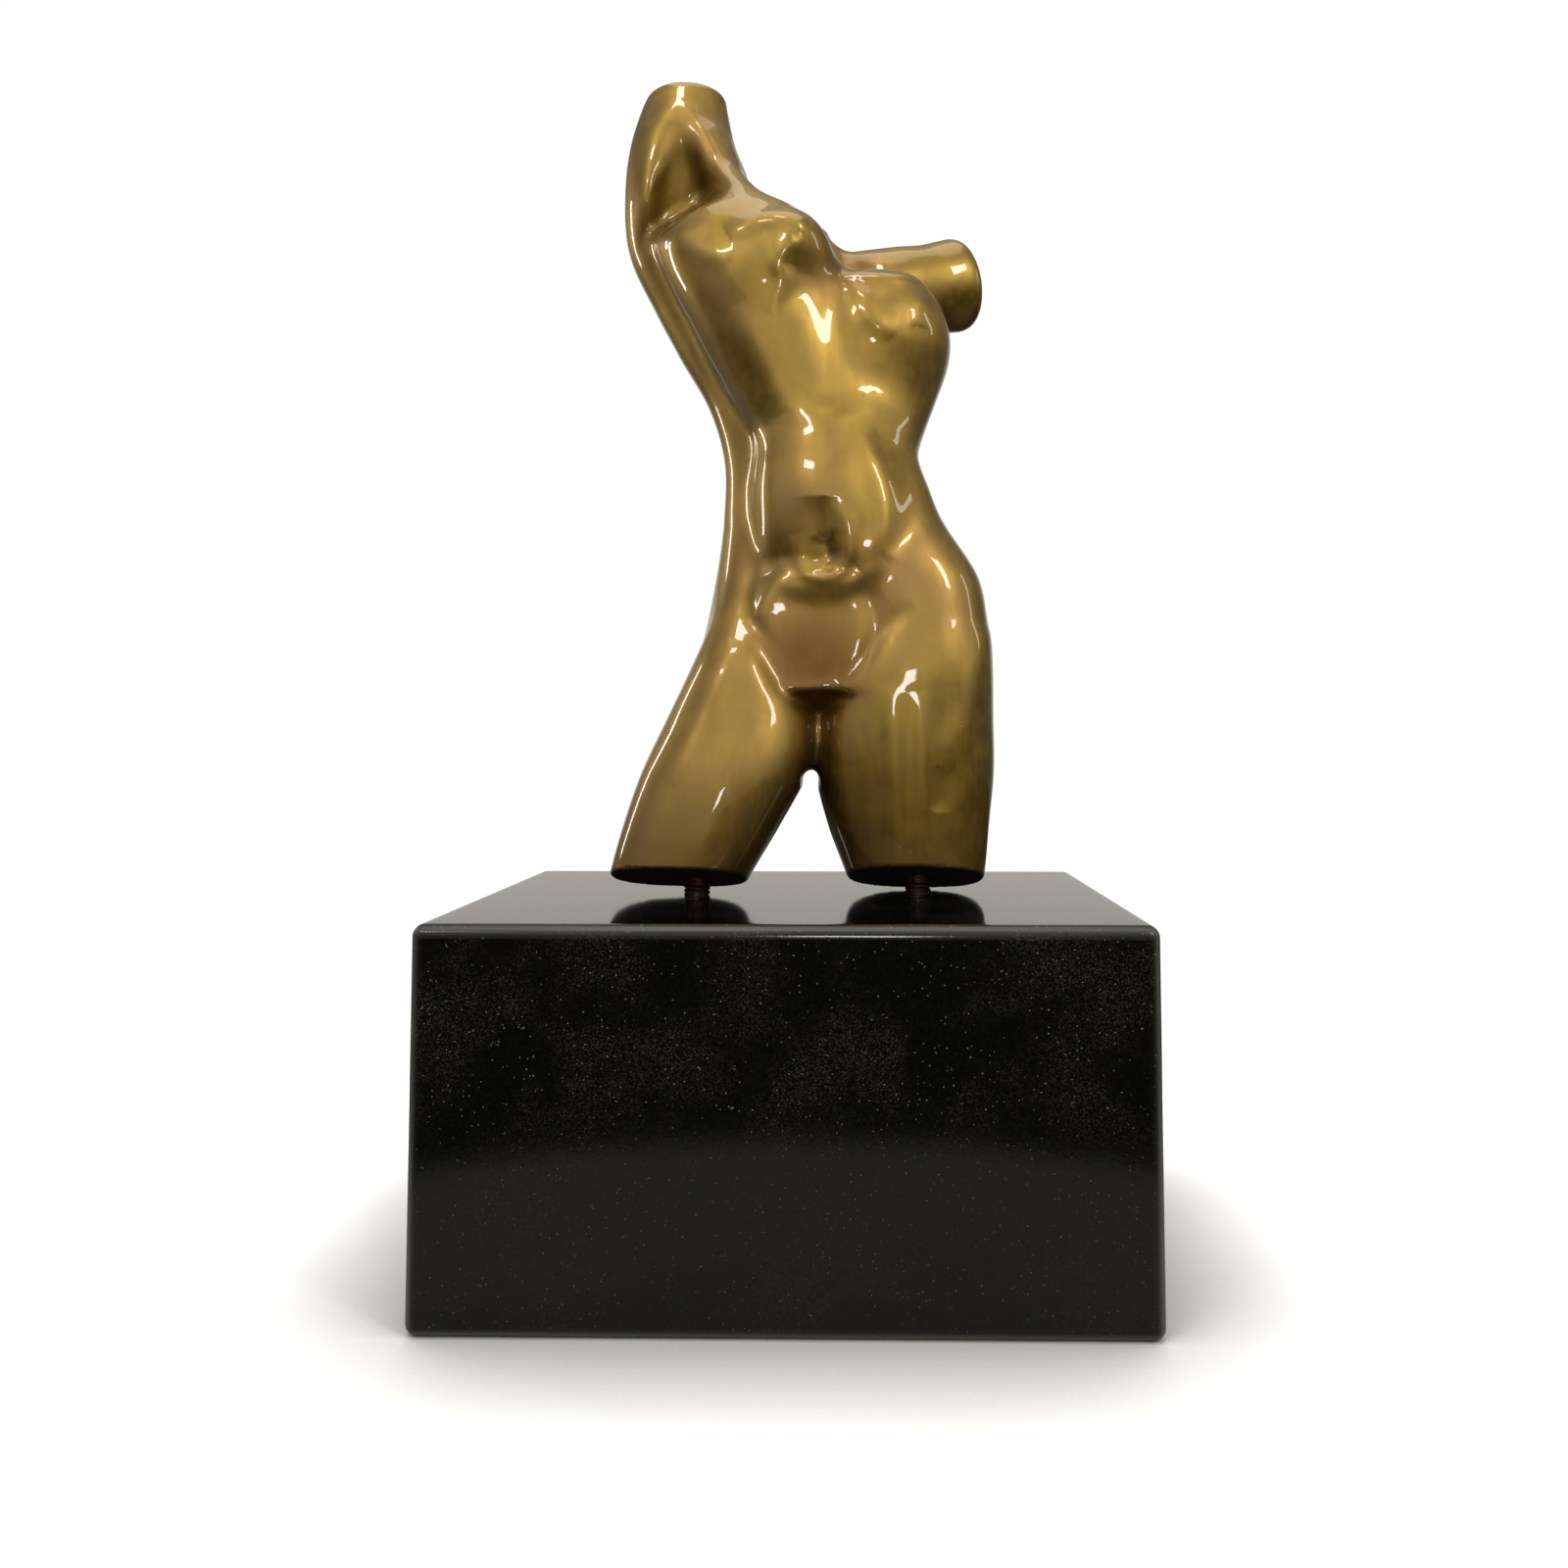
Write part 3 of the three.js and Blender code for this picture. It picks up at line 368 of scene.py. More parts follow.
STROKES: tuple[Stroke, ...] = (
    # The raised breast's crest, its tip, and the ridge that falls from the tip.
    Stroke(((-8.0, 76.2), (-6.3, 77.0), (-4.0, 77.9), (-1.2, 77.9), (1.6, 77.2)), 1.4, 0.55),
    Stroke(((0.9, 76.6),), 1.3, 0.35),
    Stroke(((0.1, 75.5),), 0.5, -0.12),
    Stroke(((0.4, 76.0), (-0.4, 74.7), (-1.6, 72.6), (-1.2, 70.2), (-3.0, 66.5)), 1.2, 0.4),
    # The chest's lower left border.
    Stroke(((-15.0, 77.0), (-12.6, 75.6), (-10.4, 74.3), (-7.4, 72.8)), 1.6, 0.3),
    # The level breast's crest, left border and right border.
    Stroke(((5.6, 71.6), (7.1, 72.7), (9.5, 72.5), (12.2, 72.3), (15.4, 73.0)), 1.1, 0.5),
    Stroke(((6.6, 72.0), (7.6, 69.6), (9.0, 66.6), (11.6, 64.6)), 1.2, 0.35),
    Stroke(((15.8, 70.4), (14.4, 68.2), (14.8, 65.8)), 1.2, 0.2),
    # The breastbone's furrow and the arch of the ribs.
    Stroke(((5.8, 74.0), (4.8, 68.0), (4.3, 62.0), (4.4, 55.0)), 2.4, -0.25),
    Stroke(((-6.5, 68.0), (-4.4, 62.5), (-2.4, 58.4), (-1.6, 55.0)), 1.5, 0.25),
    Stroke(((-2.5, 57.4), (0.5, 55.2), (3.3, 54.4), (6.7, 54.8), (10.0, 57.4)), 1.7, 0.2),
    # The belly's two long borders.
    Stroke(((6.6, 54.0), (9.2, 49.8), (10.5, 45.4), (10.4, 42.0), (9.2, 39.4), (7.0, 37.0)), 1.6, 0.45),
    Stroke(((9.4, 54.0), (11.9, 49.8), (13.2, 45.4), (13.0, 41.5), (11.4, 38.2)), 1.7, -0.3),
    Stroke(((-3.0, 54.0), (-3.2, 49.0), (-2.7, 43.6), (-2.8, 39.6), (-2.0, 36.6)), 1.5, 0.3),
    # The navel in its shallow oval dish, with the rim below.
    Stroke(((3.0, 45.0), (3.0, 41.5), (3.2, 38.4), (3.4, 36.2)), 2.0, -0.65),
    Stroke(((3.3, 40.8), (3.9, 39.2), (4.2, 37.4)), 0.9, -0.5),
    Stroke(
        (
            (5.4, 44.0), (6.3, 41.4), (6.2, 38.6), (5.0, 36.5),
            (3.4, 35.8), (1.7, 36.3), (0.6, 38.0), (0.2, 40.8),
        ),
        0.9,
        0.3,
    ),
    # The belly's lower edge and the hollow under it.
    Stroke(((-2.6, 37.2), (-0.4, 35.2), (2.8, 34.6), (5.8, 35.2), (8.4, 36.3), (10.4, 37.8)), 1.3, 0.3),
    Stroke(((-2.0, 33.4), (0.2, 32.4), (2.9, 32.0), (6.2, 32.6), (10.0, 34.6)), 2.4, -0.22),
    # The thin rim along the mound's lower edge.
    Stroke(((-1.6, 23.8), (1.6, 23.6), (4.8, 23.9)), 0.6, 0.2),
    # The groins.
    Stroke(((-4.6, 31.6), (-4.0, 29.8), (-3.4, 27.4), (-2.4, 24.8), (-0.6, 22.4)), 1.1, -0.25),
    Stroke(((13.6, 32.8), (11.4, 31.2), (9.3, 28.8), (7.4, 25.8), (4.6, 22.4)), 1.1, -0.25),
    # The thighs' long soft ridges and the dent in the right one.
    Stroke(((-6.6, 29.0), (-8.0, 24.6), (-10.4, 19.4), (-14.0, 13.0)), 1.6, 0.35),
    Stroke(((-4.0, 21.0), (-6.4, 15.4), (-9.2, 8.0), (-11.4, 0.0), (-12.4, -5.0)), 1.8, 0.25),
    Stroke(((21.6, 31.0), (21.0, 26.0), (19.6, 20.4), (17.2, 14.6)), 1.6, 0.35),
    Stroke(((17.0, 14.6), (16.7, 12.2), (16.2, 9.6)), 1.2, -0.22),
    Stroke(((10.6, 24.0), (11.1, 19.0), (11.4, 12.0), (11.7, 4.0), (11.8, -5.0)), 1.3, 0.3),
    Stroke(((14.2, 23.0), (14.5, 18.0), (14.4, 12.0), (14.2, 4.0), (14.0, -5.0)), 1.2, 0.28),
)


@dataclass(frozen=True)
class TorsoForms:
    """The modelled forms of the figure, in hundredths of its height."""

    chest: Swept = Swept(CHEST_AND_LOIN, end_rounding=4.0, squareness=2.3)
    chest_slope: Plane = Plane((4.0, 10.0, 78.5), (0.5, 0.0, 0.87))
    breast_side: Plane = Plane((3.4, 0.0, 76.0), (0.85, 0.0, 0.53))
    chest_top: Plane = Plane((6.0, 0.0, 73.4), (0.12, -0.25, 0.96))
    loin_underside: Plane = Plane((1.7, -8.0, 23.6), (0.0, -0.42, -0.9))
    belly: Ellipsoid = Ellipsoid((4.3, -0.6, 44.5), (8.6, 9.3, 12.5), turn=-4)
    fold: TaperedPath = TaperedPath(
        (((-11.8, 6.5, 92.0), 2.6), ((-9.4, 4.2, 84.6), 3.4), ((-5.0, 0.5, 78.5), 4.4)), SOFT
    )
    raised_breast: Ellipsoid = Ellipsoid((-3.4, -0.2, 74.2), (7.2, 7.0, 6.6), turn=20, tip=-12, roll=20)
    raised_peak: TaperedPath = TaperedPath((((-2.4, -2.2, 74.4), 4.4), ((0.0, -5.4, 76.0), 2.0)))
    level_breast: Ellipsoid = Ellipsoid((11.1, 1.8, 67.0), (6.2, 6.6, 7.0), turn=25, tip=-6)
    level_slope: TaperedPath = TaperedPath((((10.6, 1.4, 66.0), 5.4), ((8.8, 3.4, 56.0), 4.8)))
    left_back: Swept = Swept(LEFT_BACK, end_rounding=5.0)
    right_back: Swept = Swept(RIGHT_BACK, end_rounding=6.0)
    left_seat: Ellipsoid = Ellipsoid((0.8, 7.0, 24.0), (8.6, 7.5, 9.5))
    right_seat: Ellipsoid = Ellipsoid((13.4, 4.6, 24.5), (8.6, 7.5, 9.5))
    shoulders: TaperedPath = TaperedPath(
        (((-12.5, 10.4, 82.0), 5.5), ((2.0, 12.5, 76.0), 4.6), ((12.0, 12.5, 75.3), 5.0)), SOFT
    )
    raised_arm: Swept = Swept(RAISED_ARM, end_rounding=1.2)
    stump: Swept = Swept(ARM_STUMP, end_rounding=2.4)
    stump_root: Triple = (8.5, 11.0, 74.2)
    stump_along: Triple = (0.9, 0.36, 0.25)
    neck: TaperedPath = TaperedPath((((0.6, 11.0, 78.0), 4.4), ((-0.4, 16.5, 84.0), 4.0)))
    neck_cut: Plane = Plane((-0.2, 15.6, 83.0), (-0.1, 0.45, 0.89))
    left_thigh: Swept = Swept(LEFT_THIGH, end_rounding=4.0, squareness=2.5, open_below=True)
    right_thigh: Swept = Swept(RIGHT_THIGH, end_rounding=4.0, squareness=2.5, open_below=True)
    mound: Ellipsoid = Ellipsoid((2.6, -1.0, 29.0), (9.0, 10.5, 12.0), turn=-8)
    mound_front: Plane = Plane((1.7, -8.8, 23.2), (-0.06, -0.99, 0.02))
    mound_underside: Plane = Plane((1.7, -8.8, 23.2), (0.0, -0.42, -0.9))
    crotch: TaperedPath = TaperedPath((((1.75, -12.0, 13.2), 0.7), ((1.75, 12.0, 13.2), 0.7)))
    armpit_floor: Plane = Plane((-15.4, 3.1, 96.0), (0.26, -0.93, -0.26))
    armpit_left: Plane = Plane((-16.6, 4.5, 95.5), (-0.98, 0.0, 0.135))
    armpit_right: Plane = Plane((-10.6, 2.0, 86.8), (0.85, 0.35, 0.312))
    armpit_below: Plane = Plane((-12.9, -1.0, 81.1), (0.49, 0.38, -0.79))
    strokes: tuple[Stroke, ...] = STROKES

    def front(self, p: Points) -> Distances:
        """Chest, belly and both breasts."""
        skin = self.chest.distance(p)
        skin = trim(skin, self.chest_slope.distance(p), FLOWING)
        skin = trim(skin, join(self.breast_side.distance(p), self.chest_top.distance(p), FULL), FULL)
        skin = trim(skin, self.loin_underside.distance(p), LOIN_EDGE)
        skin = join(skin, self.belly.distance(p), BROAD)
        skin = join(skin, self.fold.distance(p), FULL)
        skin = join(skin, self.raised_breast.distance(p), BROAD)
        skin = join(skin, self.raised_peak.distance(p), FLOWING)
        skin = join(skin, self.level_breast.distance(p), FLOWING)
        return join(skin, self.level_slope.distance(p), BROAD)

    def armpit(self, p: Points) -> Distances:
        """The flat three-cornered hollow under the raised arm, in front of its floor."""
        hollow = trim(-self.armpit_floor.distance(p), self.armpit_right.distance(p), SOFT)
        hollow = trim(hollow, self.armpit_left.distance(p), FULL)
        return trim(hollow, self.armpit_below.distance(p), SOFT)

    def stump_distance(self, p: Points) -> Distances:
        """The short rest of the lowered arm, swept along its own line out of the shoulder."""
        along = np.array(self.stump_along) / np.linalg.norm(self.stump_along)
        upright = np.array((0.0, 0.0, 1.0)) - along * along[2]
        upright /= np.linalg.norm(upright)
        sideways = np.cross(along, upright)
        reach = [p[i] - self.stump_root[i] for i in range(3)]
        local = [sum(reach[i] * axis[i] for i in range(3)) for axis in (upright, sideways, along)]
        return self.stump.distance(np.array(local))

    def back(self, p: Points) -> Distances:
        """Both sides of the back with the furrow of the spine, the seat, the shoulders and the arms."""
        skin = join(self.left_back.distance(p), self.right_back.distance(p), BROAD)
        skin = join(skin, join(self.left_seat.distance(p), self.right_seat.distance(p), SEAT_CREASE), FULL)
        skin = join(skin, self.shoulders.distance(p), BROAD)
        skin = join(skin, self.raised_arm.distance(p), FULL)
        skin = join(skin, self.stump_distance(p), FULL)
        neck = trim(self.neck.distance(p), self.neck_cut.distance(p), CUT_EDGE)
        return join(skin, neck, NECK_FOOT)

    def distance(self, p: Points) -> Distances:
        """Distance to the whole figure before its thighs are cut."""
        skin = join(self.front(p), self.back(p), SOFT)
        skin = join(skin, self.right_thigh.distance(p), SOFT)
        skin = join(skin, self.left_thigh.distance(p), THIGH_CREASE)
        mound = trim(self.mound.distance(p), self.mound_front.distance(p), CUT_EDGE)
        skin = join(skin, trim(mound, self.mound_underside.distance(p), EDGE), CREASE)
        skin = trim(skin, -self.crotch.distance(p), CROTCH_EDGE)
        skin = trim(skin, -self.armpit(p), SOFT)
        skin = skin - sum(stroke.rise_at(p) for stroke in self.strokes)
        return trim(skin, THIGH_END - p[2], FINE_EDGE)


@dataclass(frozen=True)
class SurfaceNet:
    """A closed net of four-sided facets over the surface where a distance is nought.

    The distance is negative inside, the box gives the lowest and the highest corner of the room
    searched, and the step is the size of the grid's cells. A block is so many cells wide, and only
    blocks whose middle lies within this many block widths of the surface are worked out finely.
    """

    distance_at: Callable[[Points], Distances]
    box: tuple[Triple, Triple]
    step: float
    block: int = 6
    block_reach: float = 1.6
    lots: int = 24
    probe: float = 0.05
    settlings: int = 2

    def spin(self) -> tuple[np.ndarray, np.ndarray]:
        """Makes the net.

        Returns:
            The points, one in each grid cell that the surface crosses, and the facets' corners.
        """
        distances = self._sample()
        cells, cell_number = self._crossed_cells(distances)
        points = self._settle(self._middles(distances, cells))
        return points, self._facets(distances, cell_number)

    def _sample(self) -> np.ndarray:
        """Distances at the grid's corners; far from the surface a coarse grid gives the side."""
        low, high = (np.array(corner) for corner in self.box)
        block = self.block
        blocks = np.ceil((high - low) / (self.step * block)).astype(int) + 1
        axes = [low[i] + self.step * block * (np.arange(blocks[i]) + 0.5) for i in range(3)]
        middles = np.array(np.meshgrid(*axes, indexing="ij")).reshape(3, -1)
        coarse = self.distance_at(middles).reshape(blocks)
        fine = coarse.repeat(block, 0).repeat(block, 1).repeat(block, 2)
        near = np.argwhere(np.abs(coarse) < self.step * block * self.block_reach)
        offset = np.array(np.meshgrid(*[np.arange(block)] * 3, indexing="ij")).reshape(3, 1, -1)
        corners = (near.T[:, :, None] * block + offset).reshape(3, -1)
        for part in np.array_split(corners, self.lots, axis=1):
            fine[tuple(part)] = self.distance_at(low[:, None] + part * self.step)
        return fine

    def _crossed_cells(self, distances: np.ndarray) -> tuple[np.ndarray, np.ndarray]:
        """Cells with corners on both sides of the surface, and each cell's number."""
        inside = distances < 0
        corners = [
            inside[tuple(slice(o, s - 1 + o) for o, s in zip(shift, inside.shape))]
            for shift in np.ndindex(2, 2, 2)
        ]
        count = sum(corner.astype(np.int8) for corner in corners)
        crossed = (count > 0) & (count < 8)
        number = np.full(crossed.shape, -1)
        cells = np.argwhere(crossed)
        number[crossed] = np.arange(len(cells))
        return cells, number

    def _middles(self, distances: np.ndarray, cells: np.ndarray) -> np.ndarray:
        """The mean of the places where the surface crosses each cell's edges."""
        total, crossings = np.zeros((len(cells), 3)), np.zeros(len(cells))
        for corner in np.ndindex(2, 2, 2):
            for axis in (axis for axis in range(3) if corner[axis] == 0):
                start, end = cells + corner, cells + corner
                end[:, axis] += 1
                a, b = distances[tuple(start.T)], distances[tuple(end.T)]
                crossed = (a < 0) != (b < 0)
                place = np.array(corner, float) * np.ones((len(cells), 1))
                place[:, axis] += a / np.where(crossed, a - b, 1.0)
                total[crossed] += place[crossed]
                crossings[crossed] += 1
        return (cells + total / crossings[:, None]) * self.step + self.box[0]

    def slope(self, points: np.ndarray) -> np.ndarray:
        """Slope of the distance at the points, which is the surface's normal there."""
        slopes = np.empty_like(points)
        for axis in range(3):
            shift = np.zeros(3)
            shift[axis] = self.probe
            ahead, behind = self.distance_at((points + shift).T), self.distance_at((points - shift).T)
            slopes[:, axis] = (ahead - behind) / (2 * self.probe)
        return slopes

    def _settle(self, points: np.ndarray) -> np.ndarray:
        """Moves points onto the surface, no further than half a cell."""
        for _ in range(self.settlings):
            slopes = self.slope(points)
            steep = np.maximum((slopes**2).sum(axis=1), 0.01)
            move = -(self.distance_at(points.T) / steep)[:, None] * slopes
            length = np.maximum(np.linalg.norm(move, axis=1, keepdims=True), 1e-9)
            points = points + move * np.minimum(1.0, self.step / 2 / length)
        return points

    def _facets(self, distances: np.ndarray, cell_number: np.ndarray) -> np.ndarray:
        """One facet over each grid edge that the surface crosses, facing out."""
        inside = distances < 0
        facets = []
        for axis in range(3):
            first, second = (axis + 1) % 3, (axis + 2) % 3
            start = [slice(1, size - 1) for size in inside.shape]
            end = list(start)
            start[axis], end[axis] = slice(0, inside.shape[axis] - 1), slice(1, inside.shape[axis])
            edges = np.argwhere(inside[tuple(start)] != inside[tuple(end)])
            leaves = inside[tuple(start)][tuple(edges.T)]
            edges = edges + [0 if i == axis else 1 for i in range(3)]
            corners = []
            for step_first, step_second in ((1, 1), (0, 1), (0, 0), (1, 0)):
                cell = edges.copy()
                cell[:, first] -= step_first
                cell[:, second] -= step_second
                corners.append(cell_number[tuple(cell.T)])
            ring = np.stack(corners, axis=1)
            ring[~leaves] = ring[~leaves][:, ::-1]
            facets.append(ring)
        return np.concatenate(facets)


def linear(code: str) -> tuple[float, float, float, float]:
    """An sRGB hex colour as the linear values that shaders use."""
    channels = [int(code[i : i + 2], 16) / 255 for i in (1, 3, 5)]
    return (*[c / 12.92 if c <= 0.04045 else ((c + 0.055) / 1.055) ** 2.4 for c in channels], 1.0)


@dataclass(frozen=True)
class Kind:
    """A kind of node: its type, the inputs that values go to in their order, the output that is
    passed on, and the node's own settings."""

    type: str
    inputs: tuple[int | str, ...] = ()
    output: int | str | None = 0
    settings: tuple[tuple[str, Any], ...] = ()


ADD, SUBTRACT, MULTIPLY, DIVIDE, MINIMUM, MAXIMUM, POWER, ABSOLUTE, SIGN = (
    Kind("ShaderNodeMath", (0, 1), settings=(("operation", name),))
    for name in "ADD SUBTRACT MULTIPLY DIVIDE MINIMUM MAXIMUM POWER ABSOLUTE SIGN".split()
)
ADD_UP_TO_ONE = Kind("ShaderNodeMath", (0, 1), settings=(("operation", "ADD"), ("use_clamp", True)))
ADD_VECTORS, SUBTRACT_VECTORS, NORMALIZE = (
    Kind("ShaderNodeVectorMath", (0, 1), settings=(("operation", name),))
    for name in ("ADD", "SUBTRACT", "NORMALIZE")
)
LENGTH, DISTANCE = (
    Kind("ShaderNodeVectorMath", (0, 1), "Value", (("operation", name),))
    for name in ("LENGTH", "DISTANCE")
)
SCALE_VECTOR = Kind("ShaderNodeVectorMath", (0, "Scale"), settings=(("operation", "SCALE"),))
RANGE_INPUTS = ("Value", "From Min", "From Max", "To Min", "To Max")
RISE = Kind("ShaderNodeMapRange", RANGE_INPUTS, settings=(("interpolation_type", "SMOOTHSTEP"),))
STRAIGHT_RISE = Kind("ShaderNodeMapRange", RANGE_INPUTS)
MIX = Kind("ShaderNodeMix", ("Factor", 6, 7), 2, (("data_type", "RGBA"),))
STRETCH = Kind("ShaderNodeMapping", ("Vector", "Scale"))
NOISE = Kind("ShaderNodeTexNoise", ("Vector", "Scale", "Detail", "Roughness"), "Fac")
CELL_DISTANCE = Kind("ShaderNodeTexVoronoi", ("Vector", "Scale"), "Distance")
CELL_COLOUR = Kind("ShaderNodeTexVoronoi", ("Vector", "Scale"), "Color")
SPLIT_COLOUR = Kind("ShaderNodeSeparateColor", ("Color",))
SPLIT = Kind("ShaderNodeSeparateXYZ", ("Vector",))
UNITE = Kind("ShaderNodeCombineXYZ", ("X", "Y", "Z"))
HOLLOW, SAWN, WORN = (
    Kind("ShaderNodeAttribute", (), "Fac", (("attribute_name", name),))
    for name in ("hollow", "sawn", "worn")
)
BUMP = Kind("ShaderNodeBump", ("Strength", "Distance", "Height", "Normal"))
METAL = Kind(
    "ShaderNodeBsdfPrincipled",
    ("Base Color", "Metallic", "Roughness", "Normal", "Coat Weight", "Coat Roughness", "Coat Tint"),
)
STONE = Kind("ShaderNodeBsdfPrincipled", ("Base Color", "Roughness", "IOR", "Normal"))
CARD = Kind("ShaderNodeBsdfDiffuse", ("Color",))
GLOW = Kind("ShaderNodeEmission", ("Color", "Strength"))
BACKGROUND = Kind("ShaderNodeBackground", ("Color", "Strength"))
BOTH_SHADERS = Kind("ShaderNodeAddShader", (0, 1))
CAMERA_RAY = Kind("ShaderNodeLightPath", (), "Is Camera Ray")
OPENNESS = Kind("ShaderNodeAmbientOcclusion", ("Distance",), "AO", (("samples", 8),))
OBJECT_PLACE = Kind("ShaderNodeTexCoord", (), "Object")
WAY = Kind("ShaderNodeTexCoord", (), "Generated")
MATERIAL_OUTPUT = Kind("ShaderNodeOutputMaterial", ("Surface",), None)
WORLD_OUTPUT = Kind("ShaderNodeOutputWorld", ("Surface",), None)
GROUP_INPUT = Kind("NodeGroupInput")
GROUP_OUTPUT = Kind("NodeGroupOutput", ("Geometry",), None)
CYLINDER = Kind("GeometryNodeMeshCylinder", ("Vertices", "Radius", "Depth"), "Mesh")
CUBE = Kind("GeometryNodeMeshCube", ("Size", "Vertices X", "Vertices Y", "Vertices Z"), "Mesh")
SPIRAL = Kind(
    "GeometryNodeCurveSpiral", ("Resolution", "Rotations", "Start Radius", "End Radius", "Height"), "Curve"
)
CIRCLE = Kind("GeometryNodeCurvePrimitiveCircle", ("Resolution", "Radius"), "Curve", (("mode", "RADIUS"),))
CURVE_TO_MESH = Kind("GeometryNodeCurveToMesh", ("Curve", "Profile Curve", "Fill Caps"), "Mesh")
TRANSFORM = Kind("GeometryNodeTransform", ("Geometry", "Translation"), "Geometry")
JOIN_GEOMETRY = Kind("GeometryNodeJoinGeometry", (0, 0))
POSITION = Kind("GeometryNodeInputPosition")
SET_POSITION = Kind("GeometryNodeSetPosition", ("Geometry", "Position"), "Geometry")
STORE_WORN = Kind(
    "GeometryNodeStoreNamedAttribute",
    ("Geometry", "Name", "Value"),
    "Geometry",
    (("data_type", "FLOAT"), ("domain", "POINT")),
)
SHADE_SMOOTH = Kind("GeometryNodeSetShadeSmooth", ("Geometry",), "Geometry")
REALIZE = Kind("GeometryNodeRealizeInstances", ("Geometry",), "Geometry")
SET_MATERIAL = Kind("GeometryNodeSetMaterial", ("Geometry", "Material"), "Geometry")
CLOUD_ROUGHNESS = 0.55


def add_node(tree: NodeTree, kind: Kind, *values: Any) -> NodeSocket | None:
    """Adds a node to a tree.

    Args:
        tree: The shader or geometry tree.
        kind: What is added.
        values: For the kind's inputs in turn, a value, or another node's output to link.

    Returns:
        The output that the kind passes on.
    """
    node = tree.nodes.new(kind.type)
    for name, value in kind.settings:
        setattr(node, name, value)
    for key, value in zip(kind.inputs, values):
        if isinstance(value, NodeSocket):
            tree.links.new(value, node.inputs[key])
        else:
            node.inputs[key].default_value = value
    return None if kind.output is None else node.outputs[kind.output]


def new_material(name: str) -> tuple[bpy.types.Material, Adder, NodeSocket]:
    """Starts a material and gives what adds nodes to its empty tree, and its Object coordinates."""
    material = bpy.data.materials.new(name)
    material.use_nodes = True
    material.node_tree.nodes.clear()
    add = partial(add_node, material.node_tree)
    return material, add, add(OBJECT_PLACE)


